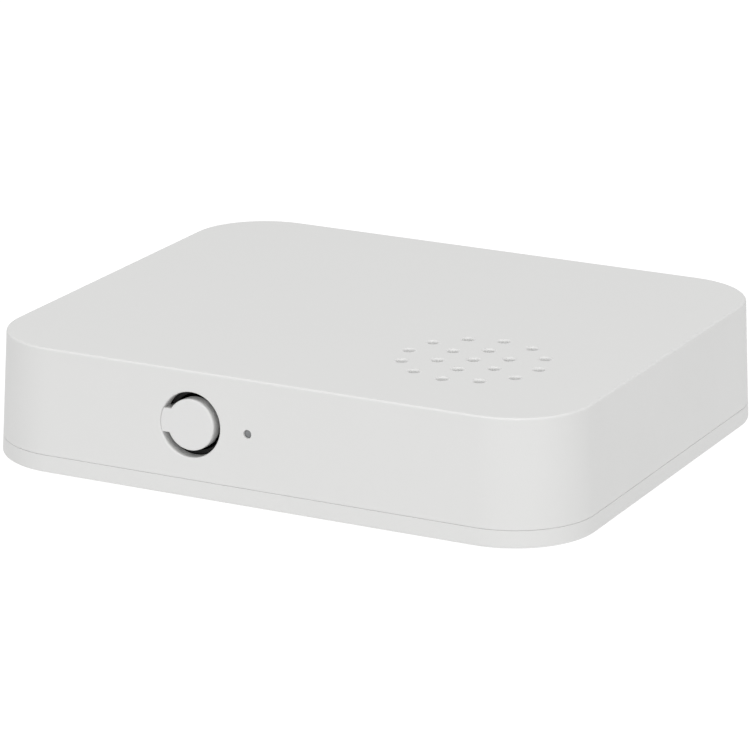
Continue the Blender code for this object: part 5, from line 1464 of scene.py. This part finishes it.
# %% Places and pieces of the small parts
EDGE_STRIP = 2 * MM
spots = []
across = int((BOARD_HIGH.x - BOARD_LOW.x - 2 * EDGE_STRIP) / PART_GRID)
along = int((BOARD_HIGH.y - BOARD_LOW.y - 2 * EDGE_STRIP) / PART_GRID)
for i in range(across + 1):
    for j in range(along + 1):
        x, y = BOARD_LOW.x + EDGE_STRIP + i * PART_GRID, BOARD_LOW.y + EDGE_STRIP + j * PART_GRID
        if dice.random() < PART_SHARE and is_free(x, y):
            spots.append((x, y, dice.random() < 0.5))
for name, slot, span, height in (
    ("part_middles", "chip_black", (-0.5, 0.5), 0.45),
    ("part_ends_left", "nickel_plate", (-0.8, -0.48), 0.5),
    ("part_ends_right", "nickel_plate", (0.48, 0.8), 0.5),
):
    half = height * 0.85
    for way, crossways in (("x", False), ("y", True)):
        block = slab((span[0] * MM, -half * MM, 0), (span[1] * MM, half * MM, height * MM))
        shape = piece_from(f"{name}_shape", block)
        if crossways:
            shape.data.transform(turn(90, "Z"))
        points = [(x, y, PART_Z + 0.01 * MM) for x, y, turned_round in spots if turned_round == crossways]
        parts = at_points(f"{name}_{way}", shape, points)
        bpy.data.objects.remove(shape)
        soften(parts, 0.06 * MM, 2)
        extra(parts, "main_board", slot)
print("small parts on the board:", len(spots))

# %% [markdown]
# ## Battery
# The cell's wrap is one turned sleeve, and its two metal ends show beyond it. The plus end has the nub.

# %% Battery cell
CELL_LOW, CELL_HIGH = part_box("battery_cell")
CELL_RADIUS = (CELL_HIGH.x - CELL_LOW.x) / 2
CELL_LENGTH = CELL_HIGH.y - CELL_LOW.y
NUB_RADIUS, NUB_HEIGHT = 2.6 * MM, 1.0 * MM
WRAP_LIP = 0.25 * MM

wrap_end = CELL_LENGTH - NUB_HEIGHT
lip, inside = CELL_RADIUS - 1.2 * MM, CELL_RADIUS - WRAP_LIP
sleeve = [(lip, 0), (CELL_RADIUS, 0), (CELL_RADIUS, wrap_end), (lip, wrap_end)]
sleeve += [(lip, wrap_end - MM), (inside, wrap_end - MM), (inside, MM), (lip, MM)]
wrap = piece_from("cell_wrap_sleeve", turned_ring(round_corners(sleeve, 0.35 * MM), segments=96))
lay_back(wrap, "battery_cell", CELL_LOW.y)
stand_in(wrap, "battery_cell")

side = inside - 0.02 * MM
low, top = 1.02 * MM, CELL_LENGTH - NUB_HEIGHT - 1.02 * MM
can = [(0, 0.1 * MM), (3.4 * MM, 0.1 * MM), (3.6 * MM, 0.3 * MM), (4.6 * MM, low), (side, low), (side, top)]
can += [(NUB_RADIUS + 0.5 * MM, top), (NUB_RADIUS, top + 0.4 * MM), (NUB_RADIUS, CELL_LENGTH - 0.3 * MM)]
can += [(NUB_RADIUS - 0.3 * MM, CELL_LENGTH), (0, CELL_LENGTH)]
ends = piece_from("cell_can", turned(can, segments=96))
lay_back(ends, "battery_cell", CELL_LOW.y)
extra(ends, "battery_cell", "nickel_plate")

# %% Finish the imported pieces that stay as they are
for name, node in sorted(frame["nodes"].items()):
    for index, old in enumerate(node.data.materials):
        node.data.materials[index] = FINISHES[old.name.split(".")[0]]
